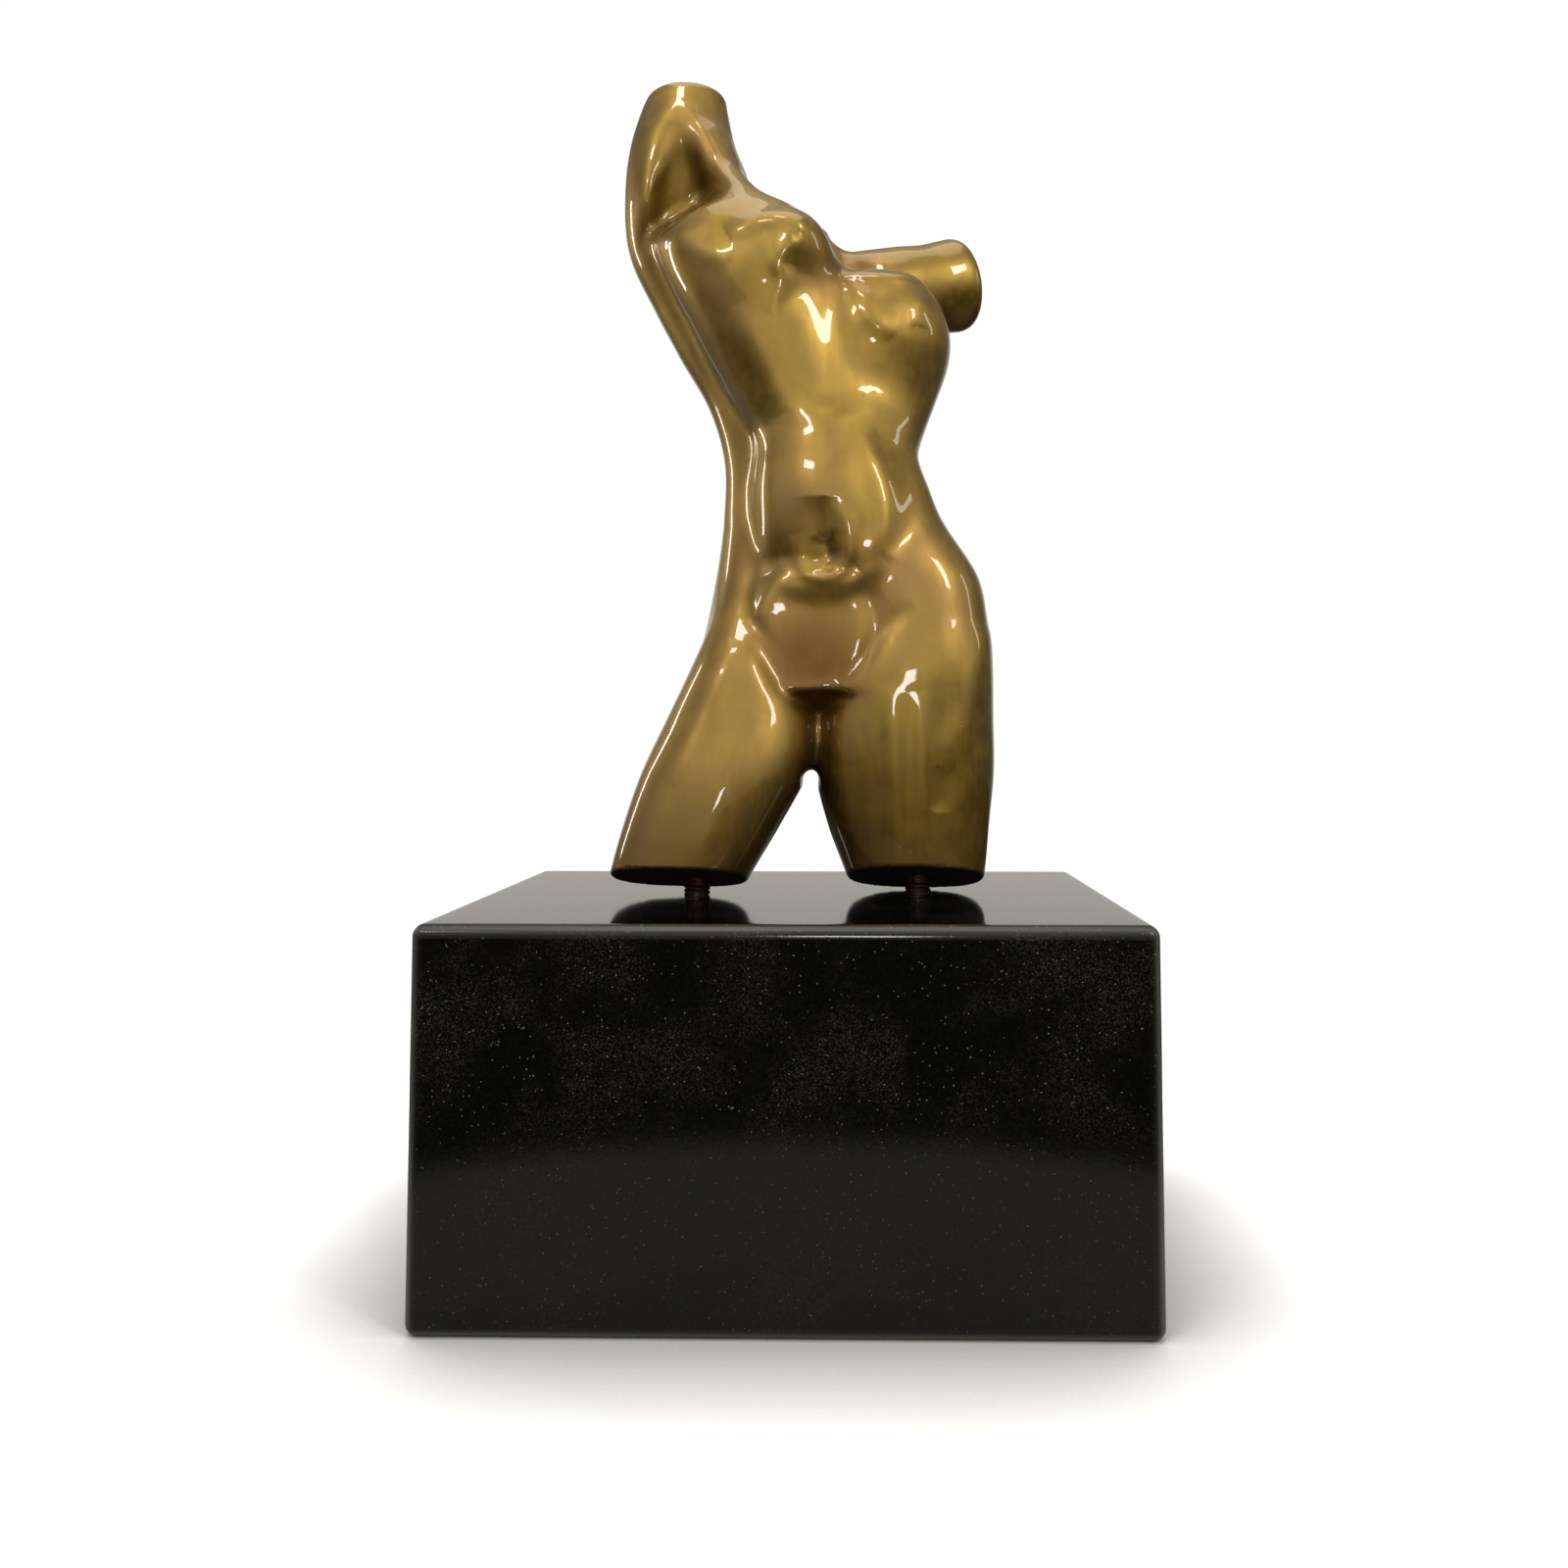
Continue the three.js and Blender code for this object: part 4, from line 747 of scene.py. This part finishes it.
@dataclass(frozen=True)
class PolishedBronze:
    """Cast bronze, ground and polished by hand, heat-toned and lacquered.

    The eye sees a golden olive metal with pinkish patches where the tone took unevenly, a darker
    brown in the hollows that is partly patina and partly painted shade, a painted shade that deepens
    towards the thighs' cuts, a painted dark reflection over the mound, faint ground streaks, a few
    casting pits, and small sharp reflections of the lamps in the lacquer over the softer glow of the
    metal.
    The sawn faces under the thighs are black and dull, with none of the polish.
    """

    olive: str = "#A38745"
    gold: str = "#B09447"
    pink: str = "#A98359"
    # Darker brown in the hollows, set by the hollow mark: partly patina, partly painted shade.
    patina_and_shade_brown: str = "#4A2F0C"
    mound_painted_reflection: str = "#6A430E"
    sawn: str = "#16140F"
    roughness: float = 0.47
    lacquer: float = 0.85
    lacquer_roughness: float = 0.04
    lacquer_tint: str = "#FBF3D6"
    patch: float = 34 * MILLIMETRE
    patch_levels: Pair = (0.40, 0.70)
    patch_share: float = 0.55
    mottle: float = 7 * MILLIMETRE
    mottle_levels: Pair = (0.36, 0.70)
    mottle_gloss: Pair = (-0.03, 0.04)
    streak: Triple = (1.0, 1.0, 0.12)
    streak_width: float = 1.6 * MILLIMETRE
    streak_levels: Pair = (0.35, 0.65)
    streak_gloss: Pair = (-0.03, 0.03)
    pit_spacing: float = 9 * MILLIMETRE
    pit_radius: float = 0.35 * MILLIMETRE
    pit_strength: float = 0.5
    # Painted shade: the metal darkens from this height down to the block's top, towards the thighs' cuts.
    foot_shade_top: float = 170 * MILLIMETRE
    foot_shade_bottom: float = 103 * MILLIMETRE
    foot_shade_share: float = 0.5
    patina_and_shade_share: float = 0.55
    hollow_dulling: float = 0.15
    sawn_dulling: float = 0.3
    sawn_metal: float = 0.3
    wave: float = 5 * MILLIMETRE
    wave_depth: float = 0.02 * MILLIMETRE
    # Painted dark reflection over the mound: a brown that fades out with distance from this point.
    mound: Triple = (0.0055, -0.024, 0.1725)
    mound_core: float = 5 * MILLIMETRE
    mound_reach: float = 22 * MILLIMETRE
    mound_reflection_strength: float = 0.75

    def material(self) -> bpy.types.Material:
        """Builds the material."""
        material, add, place = new_material("polished_lacquered_bronze")
        hollow, sawn = add(HOLLOW), add(SAWN)
        patches = add(NOISE, place, 1 / self.patch, 3.0, CLOUD_ROUGHNESS)
        mottles = add(RISE, add(NOISE, place, 1 / self.mottle, 5, CLOUD_ROUGHNESS), *self.mottle_levels)
        streaks = add(NOISE, add(STRETCH, place, self.streak), 1 / self.streak_width, 2, CLOUD_ROUGHNESS)
        height = add(SPLIT, place).node.outputs["Z"]
        # Painted shade that deepens towards the figure's foot.
        painted_foot_shade = add(RISE, height, self.foot_shade_top, self.foot_shade_bottom, 0.0, self.foot_shade_share)
        # The hollow mark darkens the metal in hollows, partly patina and partly painted shade, and the
        # painted shade towards the foot is added to it.
        hollow = add(ADD_UP_TO_ONE, add(MULTIPLY, hollow, self.patina_and_shade_share), painted_foot_shade)
        # Painted dark reflection: brown over the mound, fading with distance from its middle.
        from_mound = add(DISTANCE, place, self.mound)
        mound_reflection_share = add(RISE, from_mound, self.mound_core, self.mound_reach, self.mound_reflection_strength, 0.0)
        pinkish = add(MULTIPLY, add(RISE, patches, *self.patch_levels), self.patch_share)
        colour = linear(self.olive)
        for share, tone in (
            (mottles, self.gold),
            (pinkish, self.pink),
            (hollow, self.patina_and_shade_brown),
            (mound_reflection_share, self.mound_painted_reflection),
            (sawn, self.sawn),
        ):
            colour = add(MIX, share, colour, linear(tone))
        roughness = add(ADD, add(RISE, mottles, 0, 1, *self.mottle_gloss), self.roughness)
        for dulling in (
            add(RISE, streaks, *self.streak_levels, *self.streak_gloss),
            add(MULTIPLY, hollow, self.hollow_dulling),
            add(MULTIPLY, sawn, self.sawn_dulling),
        ):
            roughness = add(ADD, roughness, dulling)
        lacquer = add(RISE, sawn, 0.0, 1.0, self.lacquer, 0.0)
        metallic = add(RISE, sawn, 0.0, 1.0, 1.0, self.sawn_metal)
        pits = add(CELL_DISTANCE, place, 1 / self.pit_spacing)
        pit = add(RISE, pits, 0.0, self.pit_radius / self.pit_spacing, -1, 0)
        skin = add(BUMP, 1.0, self.wave_depth, add(NOISE, place, 1 / self.wave, 1, CLOUD_ROUGHNESS))
        skin = add(BUMP, self.pit_strength, self.pit_radius, pit, skin)
        coat = lacquer, self.lacquer_roughness, linear(self.lacquer_tint)
        add(MATERIAL_OUTPUT, add(METAL, colour, metallic, roughness, skin, *coat))
        return material


@dataclass(frozen=True)
class PolishedGranite:
    """Black granite, sawn and polished to a mirror, its edges rounded by hand.

    The eye sees a nearly black stone with fine pale flecks and cloudy brown-grey speckle, both
    mostly in its upper half, mirror-like faces whose fine unevenness blurs what they reflect, and a
    grey worn line along the edges.
    """

    ground: str = "#050504"
    green_grey: str = "#0B0D0A"
    brown_grey: str = "#3A372E"
    fleck: str = "#8C8A7F"
    worn: str = "#8F8E86"
    worn_share: float = 0.3
    grain: float = 0.75 * MILLIMETRE
    grain_levels: Pair = (0.3, 1.0)
    specks_per_grain: float = 2.6
    speck_levels: Pair = (0.62, 0.98)
    fleck_levels: Pair = (0.992, 1.0)
    fleck_shares: Pair = (0.3, 0.8)
    cloud: float = 22 * MILLIMETRE
    cloud_levels: Pair = (0.42, 0.66)
    cloud_shares: Pair = (0.25, 1.0)
    upper_half: Pair = (0.42 * 0.102, 0.62 * 0.102)
    roughness: float = 0.09
    ior: float = 1.42
    peel: float = 1.4 * MILLIMETRE
    peel_depth: float = 0.012 * MILLIMETRE

    def material(self) -> bpy.types.Material:
        """Builds the material."""
        material, add, place = new_material("polished_black_granite")
        worn = add(MULTIPLY, add(WORN), self.worn_share)
        grains, specks = (
            add(SPLIT_COLOUR, add(CELL_COLOUR, place, count / self.grain)).node.outputs
            for count in (1, self.specks_per_grain)
        )
        clouds = add(RISE, add(NOISE, place, 1 / self.cloud, 6, CLOUD_ROUGHNESS), *self.cloud_levels)
        upper = add(RISE, add(SPLIT, place).node.outputs["Z"], *self.upper_half)
        cloudy = add(MULTIPLY, clouds, add(RISE, upper, 0, 1, *self.cloud_shares))
        flecks = add(RISE, specks["Green"], *self.fleck_levels)
        colour = linear(self.ground)
        for share, tone in (
            (add(RISE, grains["Green"], *self.grain_levels), self.green_grey),
            (add(MULTIPLY, add(RISE, specks["Red"], *self.speck_levels), cloudy), self.brown_grey),
            (add(MULTIPLY, flecks, add(RISE, upper, 0, 1, *self.fleck_shares)), self.fleck),
            (worn, self.worn),
        ):
            colour = add(MIX, share, colour, linear(tone))
        skin = add(BUMP, 1.0, self.peel_depth, add(NOISE, place, 1 / self.peel, 2, CLOUD_ROUGHNESS))
        add(MATERIAL_OUTPUT, add(STONE, colour, add(ADD, worn, self.roughness), self.ior, skin))
        return material


@dataclass(frozen=True)
class DarkenedSteel:
    """Turned steel stud, darkened by oil and handling, with a breath of rust in the thread.

    The eye sees a nearly black, slightly reddish bar that barely shines.
    """

    steel: str = "#4A423B"
    rust: str = "#5B2C1A"
    roughness: float = 0.42
    stain: float = 2.5 * MILLIMETRE
    stain_levels: Pair = (0.45, 0.62)
    stain_dulling: float = 0.3

    def material(self) -> bpy.types.Material:
        """Builds the material."""
        material, add, place = new_material("darkened_threaded_steel")
        stains = add(RISE, add(NOISE, place, 1 / self.stain, 4, CLOUD_ROUGHNESS), *self.stain_levels)
        colour = add(MIX, stains, linear(self.steel), linear(self.rust))
        roughness = add(ADD, add(MULTIPLY, stains, self.stain_dulling), self.roughness)
        add(MATERIAL_OUTPUT, add(METAL, colour, 1.0, roughness))
        return material


class Side(Enum):
    """The two thighs, as the viewer sees them, each with the way it lies from the figure's middle."""

    LEFT = -1
    RIGHT = 1


@dataclass(frozen=True)
class ThighCut:
    """The flat cut through one thigh, tilted up towards the front and down towards the viewer's
    right, and the stud that enters it."""

    side: Side
    height: float
    tilt: float
    roll: float
    node: str

    def stud_axis(self) -> tuple[float, float]:
        """Where the stud's axis stands, in metres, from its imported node."""
        low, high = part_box(self.node)
        return (low.x + high.x) / 2, (low.y + high.y) / 2


LEFT_CUT = ThighCut(Side.LEFT, 5.3 * MILLIMETRE, math.radians(13.0), math.radians(1.5), "stud_left")
RIGHT_CUT = ThighCut(Side.RIGHT, 5.3 * MILLIMETRE, math.radians(14.5), math.radians(0.7), "stud_right")


def shown(name: str, data: Any) -> bpy.types.Object:
    """A new object of the scene that shows the given mesh, lamp or camera."""
    thing = bpy.data.objects.new(name, data)
    bpy.context.scene.collection.objects.link(thing)
    return thing


def finished(piece: bpy.types.Object, node: str) -> bpy.types.Object:
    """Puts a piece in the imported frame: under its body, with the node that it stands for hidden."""
    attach(piece, "root")
    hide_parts(node)
    LOG.info("%s: %d faces in place of %s", piece.name, len(piece.data.polygons), node)
    return piece


@dataclass
class BronzeTorso:
    """The cast figure: its skin as a fine net, cut at the thighs and drilled for the studs."""

    forms: TorsoForms = TorsoForms()
    finish: PolishedBronze = PolishedBronze()
    cuts: tuple[ThighCut, ...] = (LEFT_CUT, RIGHT_CUT)
    figure_height: float = 0.260
    lift: float = 0.001
    facet: float = 1.06 * MILLIMETRE
    quick_facet: float = 1.6 * MILLIMETRE
    between_the_legs: float = 1.0
    cut_rounding: float = 0.35
    hole_rounding: float = 0.12
    stud_clearance: float = 0.3 * MILLIMETRE
    hollow_reach: float = 3.0
    open_share: float = 0.92
    hollow_span: float = 0.6
    sawn_reach: float = 0.03

    @property
    def hundredth(self) -> float:
        """One hundredth of the figure's height, in metres."""
        return self.figure_height / 100

    @property
    def zero(self) -> float:
        """Height of the figure's own zero, just above the block's top."""
        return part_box("plinth")[1].z + self.lift

    def below(self, cut: ThighCut, p: Points) -> Distances:
        """How far the points lie below one thigh's cut, in hundredths."""
        x, y = (value / self.hundredth for value in cut.stud_axis())
        height = (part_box("plinth")[1].z + cut.height - self.zero) / self.hundredth
        across = math.cos(cut.tilt) * math.sin(cut.roll)
        upright = math.cos(cut.tilt) * math.cos(cut.roll)
        return -((p[0] - x) * across + (p[1] - y) * math.sin(cut.tilt) + (p[2] - height) * upright)

    def own_side(self, cut: ThighCut, p: Points) -> np.ndarray:
        """Which of the points lie on the cut's own side of the gap between the legs."""
        return (p[0] - self.between_the_legs) * cut.side.value > 0

    def distance(self, p: Points) -> Distances:
        """Distance to the skin of the cut and drilled figure, in hundredths."""
        skin = self.forms.distance(p)
        for cut in self.cuts:
            x, y = (value / self.hundredth for value in cut.stud_axis())
            cut_skin = trim(skin, self.below(cut, p), self.cut_rounding)
            skin = np.where(self.own_side(cut, p), cut_skin, skin)
            low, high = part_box(cut.node)
            radius = ((high.x - low.x) / 2 + self.stud_clearance) / self.hundredth
            top = (high.z + self.stud_clearance - self.zero) / self.hundredth
            hole = np.maximum(np.hypot(p[0] - x, p[1] - y) - radius, p[2] - top)
            skin = trim(skin, -hole, self.hole_rounding)
        return skin

    def sawn(self, points: np.ndarray) -> np.ndarray:
        """Which points lie on the sawn faces under the thighs, as one there and nought elsewhere."""
        p = points.T
        on_cut = [self.own_side(cut, p) & (self.below(cut, p) > -self.sawn_reach) for cut in self.cuts]
        return np.logical_or(*on_cut).astype(np.float32)

    def hollowness(self, points: np.ndarray, normals: np.ndarray) -> np.ndarray:
        """How deep in a hollow each point lies, from nought on open skin to one."""
        clear = self.forms.distance((points + normals * self.hollow_reach).T) / self.hollow_reach
        return np.clip((self.open_share - clear) / self.hollow_span, 0.0, 1.0)

    def build(self) -> bpy.types.Object:
        """Makes the figure as one smooth mesh with its hollows and sawn faces marked.

        Returns:
            The finished object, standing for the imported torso.
        """
        step = self.facet / self.hundredth
        net = SurfaceNet(self.distance, FIGURE_BOX, step)
        points, facets = net.spin()
        normals = net.slope(points)
        normals /= np.maximum(np.linalg.norm(normals, axis=1, keepdims=True), 1e-6)
        mesh = bpy.data.meshes.new("torso_bronze")
        places = points * self.hundredth + np.array((0.0, 0.0, self.zero))
        mesh.from_pydata(places.tolist(), [], facets.tolist())
        mesh.polygons.foreach_set("use_smooth", np.ones(len(facets), bool))
        # The hollow mark sets the bronze's darker brown in hollows, which is partly patina and partly
        # painted shade.
        marks = {"hollow": self.hollowness(points, normals), "sawn": self.sawn(points)}
        for name, values in marks.items():
            mark = mesh.attributes.new(name, "FLOAT", "POINT")
            mark.data.foreach_set("value", values.astype(np.float32))
        mesh.validate()
        mesh.update()
        mesh.normals_split_custom_set_from_vertices(normals.tolist())
        mesh.materials.append(self.finish.material())
        return finished(shown("torso_bronze", mesh), "torso")


def baked(tree: NodeTree, values: dict[str, Any], name: str) -> bpy.types.Object:
    """Runs a geometry tree with its named inputs and keeps the result as a plain mesh.

    Args:
        tree: The geometry tree.
        values: What each named input is set to.
        name: The new object's name.

    Returns:
        The object with the plain mesh, its modifier gone.
    """
    holder = shown(name + "_rule", bpy.data.meshes.new(name + "_rule"))
    rule = holder.modifiers.new("rule", "NODES")
    rule.node_group = tree
    for socket in tree.interface.items_tree:
        if socket.item_type == "SOCKET" and socket.in_out == "INPUT" and socket.name in values:
            rule[socket.identifier] = values[socket.name]
    evaluated = holder.evaluated_get(bpy.context.evaluated_depsgraph_get())
    mesh = bpy.data.meshes.new_from_object(evaluated)
    mesh.name = name
    holder.modifiers.remove(rule)
    bpy.data.objects.remove(holder)
    return shown(name, mesh)


def geometry_tree(name: str, **inputs: str) -> tuple[NodeTree, Adder, Any]:
    """Starts a geometry tree with one geometry output.

    Args:
        name: The tree's name.
        inputs: Each input's socket kind, by the input's name.

    Returns:
        The tree, what adds nodes to it, and the inputs' sockets.
    """
    tree = bpy.data.node_groups.new(name, "GeometryNodeTree")
    tree.interface.new_socket("Geometry", in_out="OUTPUT", socket_type="NodeSocketGeometry")
    for label, kind in inputs.items():
        tree.interface.new_socket(label, in_out="INPUT", socket_type="NodeSocket" + kind)
    add = partial(add_node, tree)
    return tree, add, add(GROUP_INPUT).node.outputs


@dataclass
class ThreadedStud:
    """One threaded steel stud between the block and a thigh."""

    cut: ThighCut
    finish: DarkenedSteel = DarkenedSteel()
    pitch: float = 1.25 * MILLIMETRE
    thread_depth: float = 0.6 * MILLIMETRE
    sides: int = 48
    ridge_sides: int = 4

    def rule(self) -> NodeTree:
        """The geometry tree: a core, and a ridge that winds up round it with the pitch."""
        tree, add, give = geometry_tree(
            "threaded_stud",
            radius="Float",
            length="Float",
            pitch="Float",
            thread_depth="Float",
            sides="Int",
            finish="Material",
        )
        core_radius = add(SUBTRACT, give["radius"], give["thread_depth"])
        core = add(CYLINDER, give["sides"], core_radius, give["length"])
        ridge_length = add(SUBTRACT, give["length"], give["pitch"])
        turns = add(DIVIDE, ridge_length, give["pitch"])
        spiral = add(SPIRAL, give["sides"], turns, core_radius, core_radius, ridge_length)
        ridge = add(CIRCLE, self.ridge_sides, give["thread_depth"])
        thread = add(CURVE_TO_MESH, spiral, ridge, True)
        down = add(UNITE, 0.0, 0.0, add(MULTIPLY, ridge_length, -0.5))
        whole = add(JOIN_GEOMETRY, core, add(TRANSFORM, thread, down))
        add(GROUP_OUTPUT, add(SET_MATERIAL, add(REALIZE, whole), give["finish"]))
        return tree

    def build(self) -> bpy.types.Object:
        """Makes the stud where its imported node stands.

        Returns:
            The finished object.
        """
        low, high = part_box(self.cut.node)
        values = {
            "radius": (high.x - low.x) / 2,
            "length": high.z - low.z,
            "pitch": self.pitch,
            "thread_depth": self.thread_depth,
            "sides": self.sides,
            "finish": self.finish.material(),
        }
        piece = baked(self.rule(), values, self.cut.node + "_threaded")
        x, y = self.cut.stud_axis()
        offset = np.array((x, y, (low.z + high.z) / 2))
        for vertex in piece.data.vertices:
            vertex.co = np.array(vertex.co) + offset
        return finished(piece, self.cut.node)


@dataclass
class GraniteBlock:
    """The polished block, a box whose edges and corners are rounded by one rule."""

    finish: PolishedGranite = PolishedGranite()
    edge_radius: float = 3.0 * MILLIMETRE
    spans: int = 40
    edge_share: float = 0.3
    ripple: float = 0.12 * MILLIMETRE
    ripple_size: float = 6 * MILLIMETRE
    worn_facing: float = 0.76

    def rule(self) -> NodeTree:
        """The geometry tree: a fine cube, its points crowded to the edges, then rounded and worn."""
        tree, add, give = geometry_tree(
            "rounded_block",
            half_sizes="Vector",
            edge_radius="Float",
            spans="Int",
            edge_share="Float",
            ripple="Float",
            ripple_size="Float",
            finish="Material",
        )
        cube = add(CUBE, (2.0, 2.0, 2.0), give["spans"], give["spans"], give["spans"])
        parts = add(SPLIT, add(POSITION)).node.outputs
        halves = add(SPLIT, give["half_sizes"]).node.outputs
        flat_share = add(SUBTRACT, 1.0, give["edge_share"])
        placed, inner = [], []
        for axis in ("X", "Y", "Z"):
            away, sign = add(ABSOLUTE, parts[axis]), add(SIGN, parts[axis])
            flat = add(SUBTRACT, halves[axis], give["edge_radius"])
            on_flat = add(STRAIGHT_RISE, away, 0.0, flat_share, 0.0, flat)
            on_edge = add(STRAIGHT_RISE, away, flat_share, 1.0, 0.0, give["edge_radius"])
            reach = add(ADD, on_flat, on_edge)
            placed.append(add(MULTIPLY, sign, reach))
            inner.append(add(MULTIPLY, sign, add(MINIMUM, reach, flat)))
        spread, core = add(UNITE, *placed), add(UNITE, *inner)
        facing = add(NORMALIZE, add(SUBTRACT_VECTORS, spread, core))
        widest, *others = (add(ABSOLUTE, side) for side in add(SPLIT, facing).node.outputs)
        for other in others:
            widest = add(MAXIMUM, widest, other)
        edge = add(STRAIGHT_RISE, widest, 1.0, self.worn_facing)
        ripples = add(NOISE, spread, add(DIVIDE, 1.0, give["ripple_size"]))
        wear = add(MULTIPLY, add(MULTIPLY, edge, ripples), give["ripple"])
        rounding = add(SCALE_VECTOR, facing, add(SUBTRACT, give["edge_radius"], wear))
        moved = add(SET_POSITION, add(STORE_WORN, cube, "worn", edge), add(ADD_VECTORS, core, rounding))
        real = add(REALIZE, add(SHADE_SMOOTH, moved))
        add(GROUP_OUTPUT, add(SET_MATERIAL, real, give["finish"]))
        return tree

    def build(self) -> bpy.types.Object:
        """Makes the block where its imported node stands.

        Returns:
            The finished object.
        """
        low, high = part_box("plinth")
        values = {
            "half_sizes": tuple((high - low) / 2),
            "edge_radius": self.edge_radius,
            "spans": self.spans,
            "edge_share": self.edge_share,
            "ripple": self.ripple,
            "ripple_size": self.ripple_size,
            "finish": self.finish.material(),
        }
        piece = baked(self.rule(), values, "granite_block")
        piece.data.transform(Matrix.Translation((low + high) / 2))
        return finished(piece, "plinth")


@dataclass(frozen=True)
class SoftLamp:
    """One soft lamp with an oblong face that looks at a point of the object."""

    name: str
    place: Triple
    size: Pair
    power: float
    target: Triple = (0.0, 0.0, 0.24)
    colour: str = "#FFFFFF"

    def hang(self) -> None:
        """Adds the lamp to the scene."""
        lamp = bpy.data.lights.new(self.name, "AREA")
        lamp.shape = "RECTANGLE"
        lamp.size, lamp.size_y = self.size
        lamp.energy = self.power
        lamp.color = linear(self.colour)[:3]
        holder = shown(self.name, lamp)
        holder.location = self.place
        away = Vector(self.place) - Vector(self.target)
        holder.rotation_euler = away.to_track_quat("Z", "Y").to_euler()


@dataclass
class Studio:
    """The floor, pale near the block and dark beyond, the soft light and the camera."""

    floor_radius: float = 1.4
    floor_sides: int = 96
    floor_colour: str = "#BAB8B2"
    far_floor_colour: str = "#3C3B38"
    near_floor: float = 0.23
    far_floor: float = 0.27
    floor_shade: float = 70 * MILLIMETRE
    shade_power: float = 3.0
    room_front: str = "#A9A59B"
    room_behind: str = "#524F49"
    upper_front: str = "#D2CFC6"
    upper_behind: str = "#76726C"
    room_above: str = "#A29F99"
    wall_behind: str = "#D2D0C6"
    room_below: str = "#6A6762"
    camera_place: Triple = (0.0173, -0.432, 0.1488)
    camera_pitch: float = math.radians(3.74)
    camera_yaw: float = math.radians(0.96)
    image_width: float = 1600.0
    focal_pixels: float = 1430.0
    middle_pixel: Pair = (846.0, 661.5)
    sensor_width: float = 36.0
    lamps: tuple[SoftLamp, ...] = (
        SoftLamp("front", (0.02, -1.2, 0.26), (0.13, 0.13), 1.0),
        SoftLamp("high_left", (-0.56, -0.80, 0.93), (0.28, 0.12), 1.9),
        SoftLamp("window_right", (0.70, -0.77, 0.84), (0.16, 0.45), 3.6),
        SoftLamp("high_front", (-0.15, -0.48, 1.33), (0.26, 0.12), 1.6),
        SoftLamp("far_right", (1.13, 0.04, 0.65), (0.10, 0.4), 0.6),
        SoftLamp("far_left", (-1.0, 0.55, 0.49), (0.10, 0.45), 1.4),
        SoftLamp("ceiling", (0.0, 0.1, 1.3), (0.8, 0.8), 2.4, (0.0, 0.0, 0.2)),
    )

    def set_camera(self) -> None:
        """Puts the camera at the photograph's viewpoint."""
        camera = bpy.data.cameras.new("camera")
        camera.sensor_width = self.sensor_width
        camera.lens = self.focal_pixels * self.sensor_width / self.image_width
        camera.shift_x = (self.image_width / 2 - self.middle_pixel[0]) / self.image_width
        camera.shift_y = (self.middle_pixel[1] - self.image_width / 2) / self.image_width
        camera.clip_start = 0.01
        holder = shown("camera", camera)
        holder.location = self.camera_place
        holder.rotation_euler = (math.pi / 2 + self.camera_pitch, 0.0, self.camera_yaw)
        bpy.context.scene.camera = holder

    def lay_floor(self) -> None:
        """Adds the floor, which is no part of the object.

        To the camera it glows white except close to the block, where it shows the block's shade.
        """
        mesh = bpy.data.meshes.new("floor")
        sides = self.floor_sides
        ring = [2 * math.pi * i / sides for i in range(sides)]
        corners = [(self.floor_radius * math.cos(a), self.floor_radius * math.sin(a), 0.0) for a in ring]
        mesh.from_pydata(corners, [], [list(range(sides))])
        material, add, place = new_material("matt_white_card")
        beyond = add(RISE, add(LENGTH, place), self.near_floor, self.far_floor)
        card = add(CARD, add(MIX, beyond, linear(self.floor_colour), linear(self.far_floor_colour)))
        shaded = add(POWER, add(OPENNESS, self.floor_shade), self.shade_power)
        glow = add(GLOW, linear("#FFFFFF"), add(MULTIPLY, add(CAMERA_RAY), shaded))
        add(MATERIAL_OUTPUT, add(BOTH_SHADERS, card, glow))
        mesh.materials.append(material)
        shown("floor", mesh)

    def light(self) -> None:
        """Sets the room's light, brighter in front of the object, and hangs the lamps."""
        world = bpy.data.worlds.new("studio")
        world.use_nodes = True
        world.node_tree.nodes.clear()
        add = partial(add_node, world.node_tree)
        way = add(SPLIT, add(WAY)).node.outputs
        behind = add(RISE, way["Y"], -0.5, 0.3)
        room = add(MIX, behind, linear(self.room_front), linear(self.room_behind))
        upper = add(MIX, behind, linear(self.upper_front), linear(self.upper_behind))
        for axis, start, end, tone in (
            ("Z", 0.0, 0.3, upper),
            ("Z", 0.5, 0.9, linear(self.room_above)),
            ("Y", 0.80, 0.94, linear(self.wall_behind)),
            ("Z", 0.06, -0.2, linear(self.room_below)),
        ):
            room = add(MIX, add(RISE, way[axis], start, end), room, tone)
        colour = add(MIX, add(CAMERA_RAY), room, linear("#FFFFFF"))
        add(WORLD_OUTPUT, add(BACKGROUND, colour, 1.0))
        bpy.context.scene.world = world
        bpy.context.scene.view_settings.view_transform = "Standard"
        for lamp in self.lamps:
            lamp.hang()


def clear_default_scene() -> None:
    """Removes whatever the empty file starts with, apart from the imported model."""
    kept = {thing.name for group in ("nodes", "bodies") for thing in frame[group].values()}
    for thing in list(bpy.data.objects):
        if thing.name not in kept:
            bpy.data.objects.remove(thing)


def main() -> None:
    """Builds the object from the block up, then the studio round it."""
    logging.basicConfig(level=logging.INFO, format="%(message)s")
    clear_default_scene()
    studio = Studio()
    studio.set_camera()
    studio.lay_floor()
    studio.light()
    GraniteBlock().build()
    for cut in (LEFT_CUT, RIGHT_CUT):
        ThreadedStud(cut).build()
    BronzeTorso().build()


if __name__ == "__main__":
    main()
